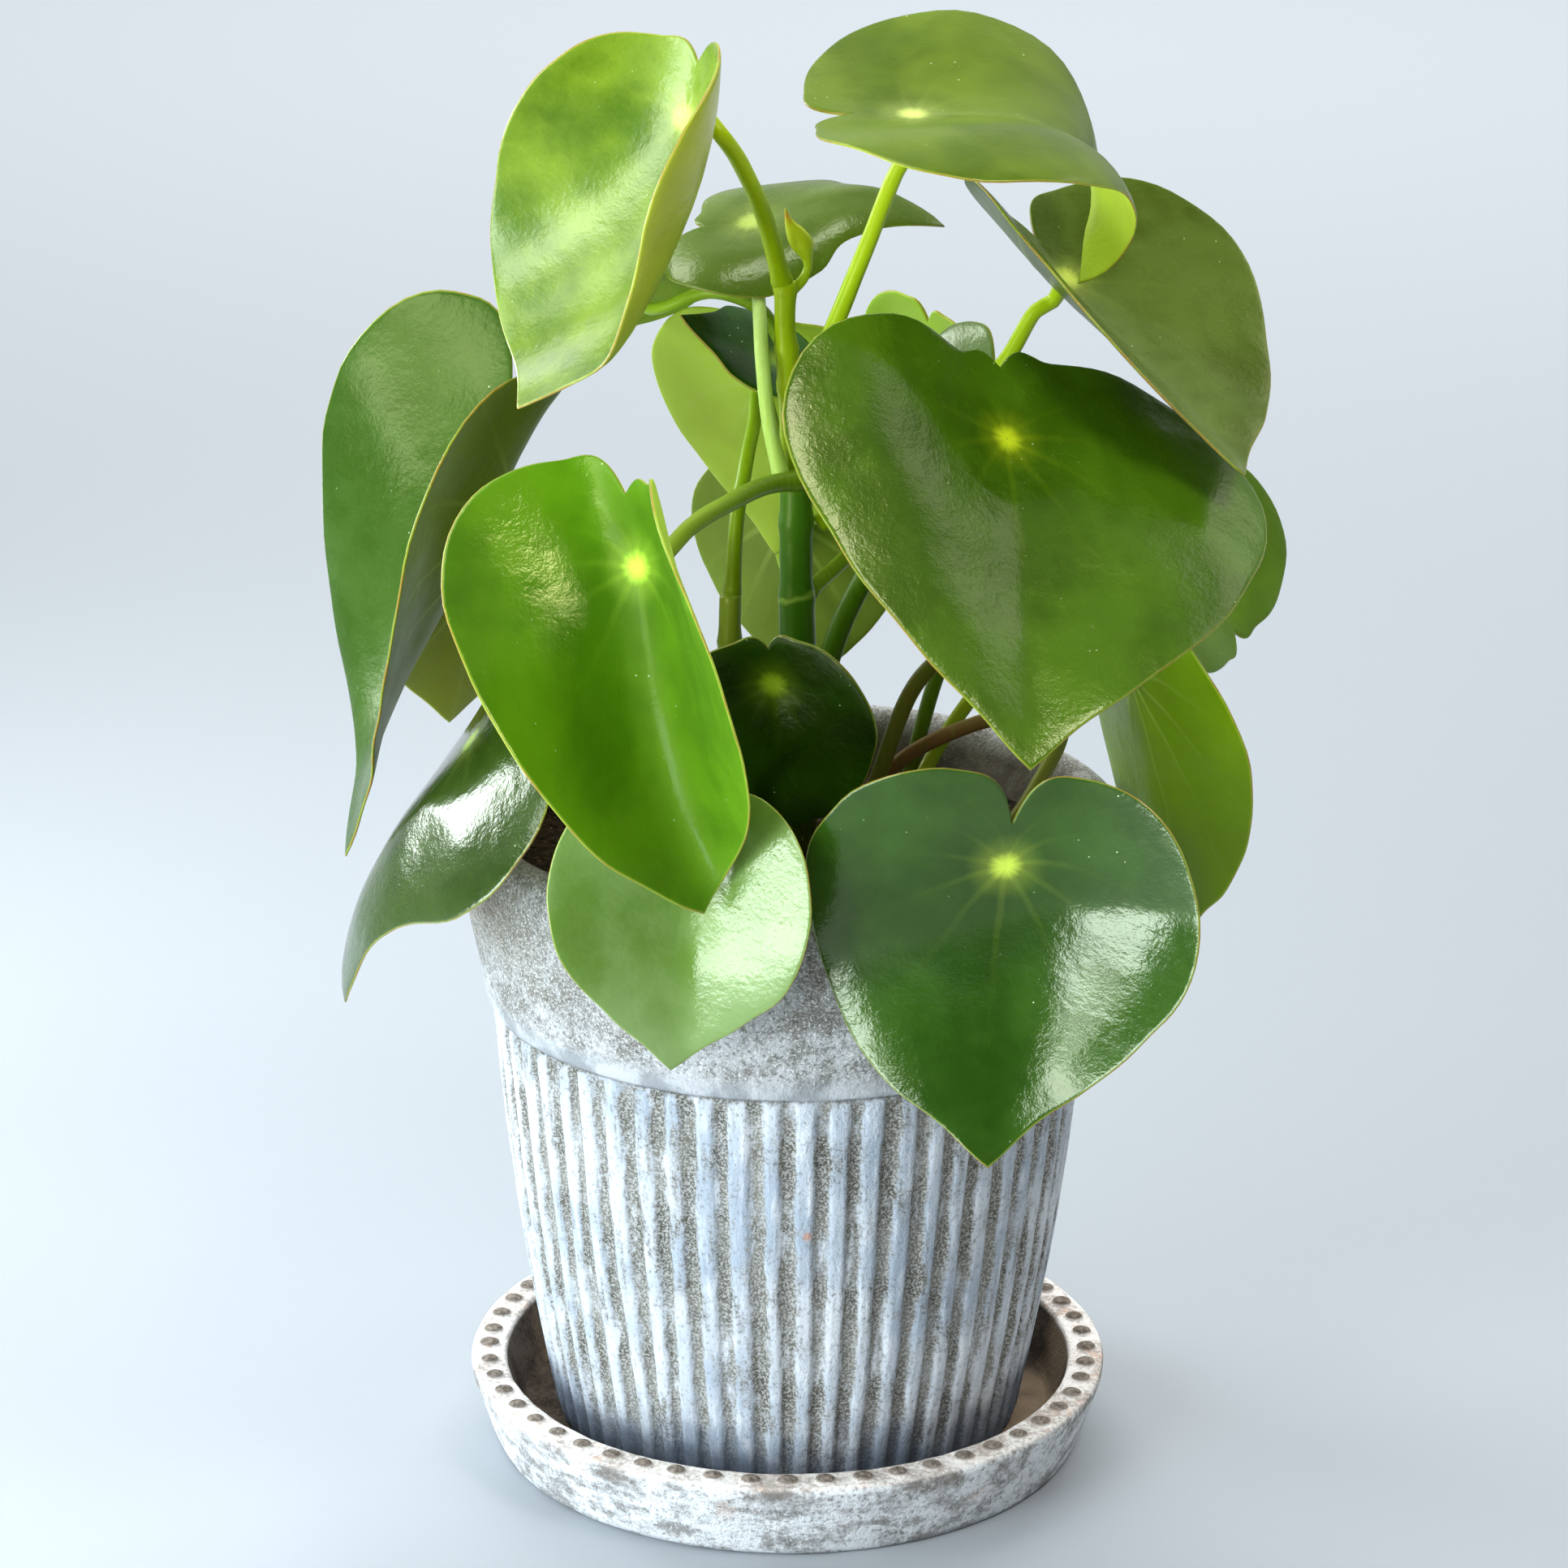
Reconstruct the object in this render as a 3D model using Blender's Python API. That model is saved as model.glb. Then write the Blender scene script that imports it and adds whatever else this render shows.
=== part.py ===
"""Potted peperomia in a ribbed clay pot on a beaded clay saucer.

Frame: metres, +Z up. Origin on the pot's axis, at the flat underside of the saucer.
X to the right, Y away from the front. Design tables below are in millimetres and degrees.
"""
import math

import bmesh
import bpy
import numpy as np

MM = 0.001
GAP = 0.35  # clearance between pieces that touch, mm

# ---------------------------------------------------------------- holder sizes, mm
SAUCER_FOOT_R = 71.5
SAUCER_RIM_R = 78.0
SAUCER_INNER_R = 69.2
SAUCER_FLOOR_R = 65.0
SAUCER_H = 21.0
SAUCER_FLOOR_Z = 6.0
BEADS = 52
BEAD_H = 0.8

POT_BASE_Z = SAUCER_FLOOR_Z + GAP
POT_BASE_R = 56.0
RIB_TOP_Z = 115.5
RIB_TOP_R = 71.2
BELLY = 1.9
RIBS = 56
RIB_H = 0.6
COLLAR_Z = 116.4
COLLAR_R = 72.9
RIM_Z = 163.0
RIM_R = 80.0
RIM_IN_R = 69.5
POT_FLOOR_Z = 14.3
POT_IN_BASE_R = 49.0
DRAIN_R = 9.0
SOIL_Z = 150.0

# ---------------------------------------------------------------- leaves
LEAF_T = 1.4  # blade thickness
# One row per leaf. x, y, z: the stalk point on the blade. heading: where the tip points
# (180 to the front, 90 to the left, -90 to the right). droop: tip below level. roll: about
# the midrib. tip: stalk point to tip. The margin as parts of tip: half widths wr and wl,
# back lobes lr and ll, sinus. gamma: half angle of the tip. shoulder: fullness.
# Bends in degrees: fold at the midrib and roll of each half, growing along the leaf;
# axis of the fold; bow, tipcurl and basecurl along the midrib; twist. dimple: mm.
LEAF_KEYS = (
    "x y z heading droop roll tip wr wl lr ll sinus gamma shoulder "
    "foldr foldl rollr rolll grow axis bow tipcurl basecurl twist dimple"
).split()
LEAVES = {
    "leaf_top_left": (-24, -33, 336.5, 124, 86, -23, 77, 0.46, 0.48, 0.26, 0.34, 0.18, 54, 0.97, 16, 34, 43, 84, -0.37, -14, 34, 53, 8, -44, 3.3),
    "leaf_top_right": (26.5, -25, 335.5, -78, -1, 10, 68, 0.69, 0.60, 0.37, 0.40, 0.20, 47, 1.03, 35, 7, -46, 3, 0.32, -9, -5, -141, -17, -15, 2.0),
    "leaf_upper_right": (62.5, -5, 293, -137, 33, 0, 70, 0.64, 0.65, 0.38, 0.40, 0.19, 51, 0.96, 49, 8, -10, 7, -0.43, -4, 4, 1, -11, 7, 2.1),
    "leaf_centre_large": (47.5, -55, 269, 188, 41, -21, 83, 0.71, 0.76, 0.28, 0.33, 0.23, 49, 0.97, 25, 12, -29, -18, -0.19, -2, -4, -7, -9, -17, 2.0),
    "leaf_mid_left": (-34, -74, 245, 209, 68, 55, 77.5, 0.62, 0.63, 0.38, 0.26, 0.21, 51, 0.98, 44, 55, 30, 10, -0.02, -3, 1, -27, -5, 29, 2.4),
    "leaf_left_folded": (-72, -5, 234.5, 89, 66, -21, 85, 0.59, 0.68, 0.59, 0.46, 0.25, 45, 0.99, 44, 64, -6, -38, -0.98, 15, 3, -2, -30, -6, 2.2),
    "leaf_left_back": (-72.5, 42, 209, 46, 71, 6, 49, 0.64, 0.65, 0.38, 0.38, 0.20, 48, 1.0, 2, 4, -11, -11, 0.0, -1, 3, -2, -10, -3, 2.0),
    "leaf_low_left": (-73, -45, 194, 102, 52, 7, 68, 0.65, 0.69, 0.38, 0.37, 0.20, 40, 1.05, -14, -9, 2, -25, 0.34, 5, 4, -42, -10, -1, 2.1),
    "leaf_front_left": (-22.5, -84, 180, 171, 81, -1, 49, 0.62, 0.64, 0.38, 0.40, 0.20, 50, 1.03, 18, 21, -1, 5, -0.04, -4, -3, -11, -12, 3, 2.0),
    "leaf_front_right": (47.5, -92, 182, 197, 105, 6, 74.5, 0.60, 0.66, 0.40, 0.39, 0.15, 50, 0.96, -7, 11, -23, 50, 0.21, -1, 11, 29, -16, -1, 2.2),
    "leaf_small_centre": (-4, -35, 205, 168, 107, 1, 43, 0.62, 0.63, 0.36, 0.37, 0.25, 50, 0.98, 23, 24, 22, -4, -0.38, 3, 1, -18, -2, -5, 2.0),
    "leaf_right_low": (80, -6, 198.5, -55, 75, 12, 71.5, 0.65, 0.63, 0.36, 0.38, 0.20, 48, 0.96, -2, 7, 10, 4, -0.03, -4, -4, -8, -12, 7, 1.8),
    "leaf_right_back": (101.5, 35, 206, 58, -65, 0, 50, 0.66, 0.65, 0.34, 0.37, 0.24, 47, 0.98, 4, 6, 4, -8, 0.03, 9, -2, -12, -12, 7, 1.8),
    "leaf_back_top": (-10, 27, 298, -87, -13, 21, 45.5, 0.59, 0.66, 0.49, 0.31, 0.24, 26, 0.97, 9, -16, -47, -21, 0.76, -9, -7, -33, -36, -9, 3.5),
    "leaf_back_pale": (-6, 47, 254.5, -20, 72, 3, 50, 0.64, 0.66, 0.39, 0.38, 0.20, 47, 1.01, 7, 8, -8, 0, 0.0, 3, -2, -13, -11, -3, 2.0),
    "leaf_young_dark": (-3.5, 22, 265.5, 101, -19, -23, 27, 0.68, 0.64, 0.39, 0.38, 0.20, 42, 1.04, 1, 8, -14, -5, -0.06, -3, 8, 7, -9, 5, 1.2),
    "leaf_back_left": (-37.5, 37, 281.5, 69, 29, 12, 42.5, 0.65, 0.64, 0.38, 0.38, 0.20, 48, 1.0, -4, 5, -30, -10, 0.03, 1, 1, -9, -10, -1, 2.0),
    "leaf_back_right": (34, 52, 260.5, -36, 68, 15, 38.5, 0.64, 0.64, 0.37, 0.39, 0.21, 48, 1.0, -3, 0, -19, -18, -0.02, 1, 1, -10, -9, 3, 2.0),
    "leaf_back_centre": (-0.5, 74, 211, -20, 82, 6, 46.5, 0.63, 0.63, 0.38, 0.38, 0.20, 48, 1.0, 2, 7, -15, -4, 0.0, -1, -1, -11, -10, 2, 2.0),
    "leaf_back_upper": (46, 12, 257, 146, 73, 19, 50, 0.64, 0.65, 0.44, 0.34, 0.18, 48, 1.0, 1, 6, -12, -9, 0.0, -3, -1, -10, -15, 4, 2.1),
}
# Stalks: radius at the foot and at the blade, then the points that the stalk passes, mm.
# It ends square on the blade's underside.
STALKS = {
    "leaf_top_left": (2.2, 1.7, [(-3, -1, 292.5), (-7, -12, 310), (-13, -24, 326), (-17, -30, 333)]),
    "leaf_top_right": (2.2, 1.7, [(3, -7, 266), (9, -10, 282), (17, -15, 304), (23, -22, 322)]),
    "leaf_upper_right": (2.1, 1.7, [(8, 3, 233), (27, 4, 248), (49, 0, 272), (56, -3, 285)]),
    "leaf_centre_large": (2.8, 2.0, [(5, -9, 182), (9, -10, 203), (16, -14, 222), (30, -28, 246)]),
    "leaf_mid_left": (2.3, 1.8, [(0, -7, 245), (-6, -17, 247), (-14, -34, 248), (-23, -54, 248)]),
    "leaf_left_folded": (2.2, 1.8, [(-18.8, 9, 185.4), (-30, 10, 194), (-45, 8, 206), (-60, 2, 224)]),
    "leaf_left_back": (2.0, 1.6, [(-3, 12, 152), (-14, 20, 176), (-34, 26, 197), (-52, 26, 205)]),
    "leaf_low_left": (2.0, 1.6, [(-12, -10, 152.6), (-30, -23, 182), (-52, -36, 196), (-63, -41, 192)]),
    "leaf_front_left": (1.9, 1.5, [(-10, -18, 152.6), (-12, -34, 176), (-16, -56, 187), (-20, -70, 184)]),
    "leaf_front_right": (2.1, 1.7, [(15, -6, 152.2), (21, -4, 172), (30, -6, 196), (46, -22, 213), (60, -45, 213), (61, -62, 203), (54, -76, 193)]),
    "leaf_small_centre": (1.8, 1.4, [(-5, -15, 152), (-5, -20, 176), (-6, -24, 195)]),
    "leaf_right_low": (2.0, 1.6, [(14, 3, 152.6), (25, 2, 172), (44, -2, 184), (64, -8, 190)]),
    "leaf_right_back": (1.9, 1.5, [(24, 3, 152.2), (36, 8, 176), (50, 22, 191), (65, 42, 200), (84, 46, 202)]),
    "leaf_back_top": (1.8, 1.5, [(-3, -7, 248), (-5.5, -6.6, 259), (-7, -4.5, 272), (-8, 7, 285)]),
    "leaf_back_pale": (1.9, 1.5, [(-14, 12, 213.2), (-13, 13, 230), (-11, 20, 241), (-9, 32, 249)]),
    "leaf_young_dark": (1.4, 1.1, [(-1.5, 6.5, 248), (-4, 15, 252)]),
    "leaf_back_left": (1.8, 1.4, [(-2, 6, 274), (-9, 20, 280), (-20, 28, 281), (-30, 30, 277)]),
    "leaf_back_right": (1.9, 1.5, [(5, 6, 215), (21, 26, 226), (27, 40, 241)]),
    "leaf_back_centre": (2.0, 1.6, [(4, 16, 152.4), (3, 36, 175), (1, 60, 194)]),
    "leaf_back_upper": (2.0, 1.6, [(26, 15, 152.2), (34, 20, 185), (47, 23, 222), (54, 20, 244)]),
}
MAIN_STEM = [(2.2, 0, 152, 4.2), (2.0, 0, 181, 4.1), (1.5, 0, 204, 4.1), (1.0, 0, 222, 4.1), (0.8, 0, 242, 3.9),
             (0, 0, 257, 3.3), (-1.2, 0, 271, 2.8), (-1.9, 0, 281, 2.7), (-1.8, 0, 290, 2.8)]
SIDE_STEM = [(-12.5, 8, 152, 2.9), (-14, 9, 178, 2.9), (-14.6, 10, 198, 2.9), (-14.5, 11, 211, 2.8)]
BUD = [(1.6, 0.5, 291.2, 0.9), (3.2, 0.3, 294, 0.9), (3.0, 0, 296.5, 1.3), (2.2, 0, 299, 2.4),
       (0.6, 0, 302, 2.2), (-0.9, 0, 305, 1.0), (-1.9, 0, 307.5, 0.25)]

# ---------------------------------------------------------------- maths of a blade
DEG = math.pi / 180
GX, GW = np.polynomial.legendre.leggauss(8)
GX, GW = (GX + 1) / 2, GW / 2


def smooth_through(xk, yk, x):
    """Smooth curve through the points (xk, yk), read at x."""
    xk, yk = np.asarray(xk, float), np.asarray(yk, float)
    h = np.diff(xk)
    s = np.diff(yk) / h
    m = np.empty(len(xk))
    m[0], m[-1] = s[0], s[-1]
    m[1:-1] = (s[:-1] * h[1:] + s[1:] * h[:-1]) / (h[:-1] + h[1:])
    i = np.clip(np.searchsorted(xk, x) - 1, 0, len(h) - 1)
    t = (x - xk[i]) / h[i]
    t2, t3 = t * t, t * t * t
    return (2 * t3 - 3 * t2 + 1) * yk[i] + (t3 - 2 * t2 + t) * h[i] * m[i] + (-2 * t3 + 3 * t2) * yk[i + 1] + (t3 - t2) * h[i] * m[i + 1]


def margin(p, phi):
    """Distance from the stalk point to the margin. phi runs from the tip, + to the right."""
    phi = (phi + np.pi) % (2 * np.pi) - np.pi
    a = np.abs(phi) / DEG
    out = np.empty_like(a)

    def edge(q):
        return math.sin(p["gamma"] * DEG) / math.sin((p["gamma"] + q) * DEG)

    for right, wide, lobe in ((True, p["wr"], p["lr"]), (False, p["wl"], p["ll"])):
        m = (phi >= 0) if right else (phi < 0)
        r50 = p["shoulder"] * math.sqrt(edge(22) * wide)
        angles = [0, 8, 22, 50, 88, 122, 150, 170, 180]
        radii = [1, edge(8) * 0.99, edge(22), r50, wide, math.sqrt(wide * lobe) * 1.04, lobe, lobe * 0.55 + p["sinus"] * 0.5, p["sinus"]]
        out[m] = p["tip"] * smooth_through(angles, radii, a[m])
    return out


def attitude(p):
    h, d, r = p["heading"] * DEG, -p["droop"] * DEG, p["roll"] * DEG
    rz = np.array([[math.cos(h), -math.sin(h), 0], [math.sin(h), math.cos(h), 0], [0, 0, 1]])
    rx = np.array([[1, 0, 0], [0, math.cos(d), -math.sin(d)], [0, math.sin(d), math.cos(d)]])
    ry = np.array([[math.cos(r), 0, math.sin(r)], [0, 1, 0], [-math.sin(r), 0, math.cos(r)]])
    return rz @ rx @ ry


def blade_surface(p, rho, phi):
    """Middle surface of the blade, mm: the flat margin, folded along the midrib, rolled, curled and twisted."""
    r = margin(p, phi)
    u, v = rho * r * np.sin(phi), rho * r * np.cos(phi)
    length, half = p["tip"], p["tip"] * 0.62
    c, s = math.cos(p["axis"] * DEG), math.sin(p["axis"] * DEG)
    across, along = u * c - v * s, u * s + v * c
    w, q = np.abs(across) / half, along / length
    right = across >= 0
    fold = np.where(right, p["foldr"], p["foldl"]) * DEG
    roll = np.where(right, p["rollr"], p["rolll"]) * DEG
    grow = 1 + p["grow"] * q
    crease = 0.12 + 0.22 * np.clip(0.5 - q, 0, 1)
    wt = w[..., None] * GX
    slope = grow[..., None] * (fold[..., None] * np.tanh(wt / crease[..., None]) + roll[..., None] * wt)
    x = np.sign(across) * w * half * (np.cos(slope) * GW).sum(-1)
    z = w * half * (np.sin(slope) * GW).sum(-1)

    def pitch(t):
        return DEG * (p["bow"] * t + np.where(t > 0, p["tipcurl"] * t * t, -p["basecurl"] * 4 * t * t))

    run = pitch(q[..., None] * GX)
    y0 = along * (np.cos(run) * GW).sum(-1)
    z0 = along * (np.sin(run) * GW).sum(-1)
    end = pitch(q)
    tw = p["twist"] * DEG * q
    x, z = x * np.cos(tw) - z * np.sin(tw), x * np.sin(tw) + z * np.cos(tw)
    near = rho * r / (0.30 * length)
    z = z + p["dimple"] * (1 - np.exp(-near * near))
    pts = np.stack([x, y0 - z * np.sin(end), z0 + z * np.cos(end)], -1)
    return pts @ attitude(p).T + np.array([p["x"], p["y"], p["z"]])


def blade_normals(p, rho, phi):
    e = 1e-3
    rho1, rho0 = np.minimum(rho + e, 1.0), np.maximum(rho - e, 0.02)
    dr = blade_surface(p, rho1, phi) - blade_surface(p, rho0, phi)
    dp = blade_surface(p, rho, phi + e) - blade_surface(p, rho, phi - e)
    n = np.cross(dp, dr)
    return n / np.maximum(np.linalg.norm(n, axis=-1, keepdims=True), 1e-12)


# ---------------------------------------------------------------- builders
def clear_scene():
    for ob in list(bpy.data.objects):
        bpy.data.objects.remove(ob, do_unlink=True)


def material(name, colour, rough, metal=0.0):
    m = bpy.data.materials.new(name)
    m.use_nodes = True
    b = m.node_tree.nodes["Principled BSDF"]
    b.inputs["Base Color"].default_value = (*colour, 1)
    b.inputs["Roughness"].default_value = rough
    b.inputs["Metallic"].default_value = metal
    m.diffuse_color = (*colour, 1)
    return m


def add_object(name, data, colour, rough, parent):
    ob = bpy.data.objects.new(name, data)
    bpy.context.collection.objects.link(ob)
    data.materials.append(material(name + "_finish", colour, rough))
    ob.parent = parent
    return ob


def mesh_from(name, verts, faces):
    me = bpy.data.meshes.new(name)
    bm = bmesh.new()
    vs = [bm.verts.new((v[0] * MM, v[1] * MM, v[2] * MM)) for v in verts]
    for f in faces:
        bm.faces.new([vs[i] for i in f])
    bmesh.ops.recalc_face_normals(bm, faces=bm.faces)
    bmesh.ops.triangulate(bm, faces=bm.faces)
    bm.to_mesh(me)
    bm.free()
    me.shade_smooth()
    me.set_sharp_from_angle(angle=math.radians(40))
    return me


def turned(profile, n, closed):
    """Rings of n points on the profile's (radius, height, ripple, beat) rows. Ripple alternates on every second point."""
    verts, rings = [], []
    for row in profile:
        r, z = row[0], row[1]
        ripple, bead = (row[2], row[3]) if len(row) > 2 else (0, 0)
        if r == 0:
            rings.append([len(verts)])
            verts.append((0, 0, z))
            continue
        ids = []
        for k in range(n):
            t = 2 * math.pi * k / n
            odd = 1 if k % 2 else -1
            rr = r + ripple * odd
            ids.append(len(verts))
            verts.append((rr * math.cos(t), rr * math.sin(t), z + (bead if k % 2 else 0)))
        rings.append(ids)
    faces = []
    pairs = list(zip(rings, rings[1:] + rings[:1])) if closed else list(zip(rings, rings[1:]))
    for a, b in pairs:
        for k in range(n):
            k1 = (k + 1) % n
            if len(a) == 1:
                faces.append((a[0], b[k], b[k1]))
            elif len(b) == 1:
                faces.append((a[k], a[k1], b[0]))
            else:
                faces.append((a[k], a[k1], b[k1], b[k]))
    return verts, faces


def saucer_mesh():
    profile = [
        (0, 0),
        (SAUCER_FOOT_R - 1.5, 0),
        (SAUCER_FOOT_R + 0.6, 1.6),
        (SAUCER_RIM_R, SAUCER_H - 2.5),
        (SAUCER_RIM_R - 1.6, SAUCER_H - 0.3),
        (0.5 * (SAUCER_RIM_R + SAUCER_INNER_R), SAUCER_H - 0.2, 0, BEAD_H),
        (SAUCER_INNER_R, SAUCER_H - 0.6),
        (SAUCER_FLOOR_R, SAUCER_FLOOR_Z),
        (0, SAUCER_FLOOR_Z),
    ]
    return turned(profile, 2 * BEADS, False)


def body_radius(z):
    t = (z - POT_BASE_Z) / (RIB_TOP_Z - POT_BASE_Z)
    return POT_BASE_R + (RIB_TOP_R - POT_BASE_R) * t + BELLY * math.sin(math.pi * t)


def pot_mesh():
    profile = [(DRAIN_R, POT_BASE_Z), (POT_BASE_R - 1.5, POT_BASE_Z)]
    for z in (POT_BASE_Z + 1.5, 60, RIB_TOP_Z - 1.5):
        profile.append((body_radius(z), z, RIB_H, 0))
    profile += [
        (RIB_TOP_R - 0.3, RIB_TOP_Z),
        (COLLAR_R, COLLAR_Z),
        (77.6, 140),
        (RIM_R, 157),
        (78.2, RIM_Z - 0.6),
        (74.0, RIM_Z - 0.2),
        (RIM_IN_R, RIM_Z - 6),
        (69.0, SOIL_Z - 2),
        (POT_IN_BASE_R + 1.5, POT_FLOOR_Z + 2),
        (POT_IN_BASE_R, POT_FLOOR_Z),
        (DRAIN_R, POT_FLOOR_Z),
    ]
    return turned(profile, 2 * RIBS, True)


def soil_mesh():
    wall = (69.0 - (POT_IN_BASE_R + 1.5)) / (SOIL_Z - 2 - POT_FLOOR_Z - 2)
    z0 = POT_FLOOR_Z + 2.6
    side = POT_IN_BASE_R + 1.5 - 0.5
    profile = [
        (0, POT_FLOOR_Z + 0.5),
        (POT_IN_BASE_R - 1.5, POT_FLOOR_Z + 0.5),
        (side, z0),
        (side + wall * (SOIL_Z - 3 - z0), SOIL_Z - 3),
        (66.5, SOIL_Z - 0.8),
        (40, SOIL_Z + 0.6),
        (0, SOIL_Z + 1.2),
    ]
    return turned(profile, 48, False)


SPOKES = 20
RINGS = (0.36, 0.72, 1.0)


def blade_mesh(p):
    """Closed thin sheet: upper and lower skins half the thickness off the middle surface, joined along the margin."""
    k = np.arange(SPOKES) / SPOKES * 2 * np.pi - np.pi
    phi = k - 0.2 * np.sin(2 * k)
    rr, pp = np.meshgrid(np.array(RINGS), phi, indexing="ij")
    mid = blade_surface(p, rr, pp)
    nor = blade_normals(p, rr, pp)
    up = attitude(p)[:, 2]
    sign = 1.0 if float((nor[0] @ up).mean()) > 0 else -1.0
    nor = nor * sign
    centre = blade_surface(p, np.array([0.0]), np.array([0.0]))[0]
    half = np.full(rr.shape, LEAF_T / 2)
    half[-1] = LEAF_T * 0.3
    top = mid + nor * half[..., None]
    low = mid - nor * half[..., None]
    nr, ns = rr.shape
    verts = [centre + up * LEAF_T / 2] + list(top.reshape(-1, 3)) + [centre - up * LEAF_T / 2] + list(low.reshape(-1, 3))
    off = 1 + nr * ns
    faces = []
    for j in range(ns):
        j1 = (j + 1) % ns
        faces.append((0, 1 + j, 1 + j1))
        faces.append((off, off + 1 + j1, off + 1 + j))
        for i in range(nr - 1):
            a, b = 1 + i * ns + j, 1 + i * ns + j1
            c, d = a + ns, b + ns
            faces += [(a, c, d), (a, d, b), (off + a, off + d, off + c), (off + a, off + b, off + d)]
        a, b = 1 + (nr - 1) * ns + j, 1 + (nr - 1) * ns + j1
        faces += [(a, off + a, off + b), (a, off + b, b)]
    return verts, faces


def rounded_path(pts, step):
    """Points on a smooth curve through pts, about one every step mm."""
    pts = np.asarray(pts, float)
    d = np.sqrt(np.linalg.norm(np.diff(pts, axis=0), axis=1))
    t = np.concatenate([[0], np.cumsum(d)])
    lengths = np.linalg.norm(np.diff(pts, axis=0), axis=1)
    knots = [t[0]]
    for i, ln in enumerate(lengths):
        n = max(1, int(round(ln / step)))
        knots += list(t[i] + (t[i + 1] - t[i]) * np.arange(1, n + 1) / n)
    knots = np.array(knots)
    return np.stack([smooth_through(t, pts[:, a], knots) for a in range(pts.shape[1])], -1), knots / t[-1]


def rod(name, pts, radii, resolution):
    cu = bpy.data.curves.new(name, "CURVE")
    cu.dimensions = "3D"
    cu.twist_mode = "MINIMUM"
    cu.bevel_depth = MM
    cu.bevel_resolution = resolution
    cu.use_fill_caps = True
    sp = cu.splines.new("POLY")
    sp.points.add(len(pts) - 1)
    for q, (x, y, z), r in zip(sp.points, pts, radii):
        q.co = (x * MM, y * MM, z * MM, 1)
        q.radius = r
    return cu


def stalk_curve(name, p, foot_r, top_r, pts):
    n = attitude(p)[:, 2]
    at = blade_surface(p, np.array([0.0]), np.array([0.0]))[0]
    end = at - n * (LEAF_T / 2 + GAP)
    ctrl = list(pts) + [at - n * 7.0, at - n * 3.5, end]
    path, t = rounded_path(ctrl, 9.0)
    path[-1], path[-2] = end, at - n * 3.5
    return rod(name, path, foot_r + (top_r - foot_r) * t, 1)


def main():
    clear_scene()
    root = bpy.data.objects.new("potted_peperomia", None)
    bpy.context.collection.objects.link(root)

    add_object("saucer", mesh_from("saucer", *saucer_mesh()), (0.50, 0.47, 0.45), 0.85, root)
    add_object("pot", mesh_from("pot", *pot_mesh()), (0.55, 0.55, 0.54), 0.85, root)
    add_object("soil", mesh_from("soil", *soil_mesh()), (0.05, 0.035, 0.025), 0.95, root)

    stems = (("main_stem", MAIN_STEM, 2, (0.10, 0.22, 0.03)), ("side_stem", SIDE_STEM, 2, (0.16, 0.20, 0.05)), ("bud_leaf", BUD, 1, (0.33, 0.42, 0.04)))
    for name, rows, res, colour in stems:
        a = np.array(rows, float)
        if name == "bud_leaf":
            path = a
        else:
            path, _ = rounded_path(a, 9.0)
        add_object(name, rod(name, path[:, :3], path[:, 3], res), colour, 0.45, root)

    for name, row in LEAVES.items():
        p = dict(zip(LEAF_KEYS, row))
        add_object(name + "_blade", mesh_from(name + "_blade", *blade_mesh(p)), (0.10, 0.27, 0.03), 0.3, root)
        foot_r, top_r, pts = STALKS[name]
        add_object(name + "_stalk", stalk_curve(name + "_stalk", p, foot_r, top_r, pts), (0.25, 0.36, 0.06), 0.45, root)


main()
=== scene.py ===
import math

import bpy
import numpy as np
from mathutils import Matrix, Vector, noise


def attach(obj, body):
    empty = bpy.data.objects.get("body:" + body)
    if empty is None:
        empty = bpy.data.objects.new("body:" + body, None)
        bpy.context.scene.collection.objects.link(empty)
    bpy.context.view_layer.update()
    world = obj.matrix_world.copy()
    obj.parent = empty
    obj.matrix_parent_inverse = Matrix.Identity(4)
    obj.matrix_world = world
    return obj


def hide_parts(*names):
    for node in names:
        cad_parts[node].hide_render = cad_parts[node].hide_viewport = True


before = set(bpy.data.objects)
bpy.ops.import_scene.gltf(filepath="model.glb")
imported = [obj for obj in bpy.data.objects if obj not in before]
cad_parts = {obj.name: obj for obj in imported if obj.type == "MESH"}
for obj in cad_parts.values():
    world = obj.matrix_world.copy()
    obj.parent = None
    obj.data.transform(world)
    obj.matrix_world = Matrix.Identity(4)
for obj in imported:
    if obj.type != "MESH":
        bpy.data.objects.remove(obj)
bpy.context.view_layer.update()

MM = 0.001
DEG = math.pi / 180
PHOTO = 1932  # the frame is square, px

# ================================================================ sizes, mm (as the solids)
SAUCER_FLOOR_Z = 6.0
SAUCER_H = 21.0
BEADS = 52
POT_BASE_Z = 6.35
POT_BASE_R = 56.0
RIB_TOP_Z = 115.5
RIB_TOP_R = 71.2
BELLY = 1.9
RIBS = 56
SOIL_Z = 150.0

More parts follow.
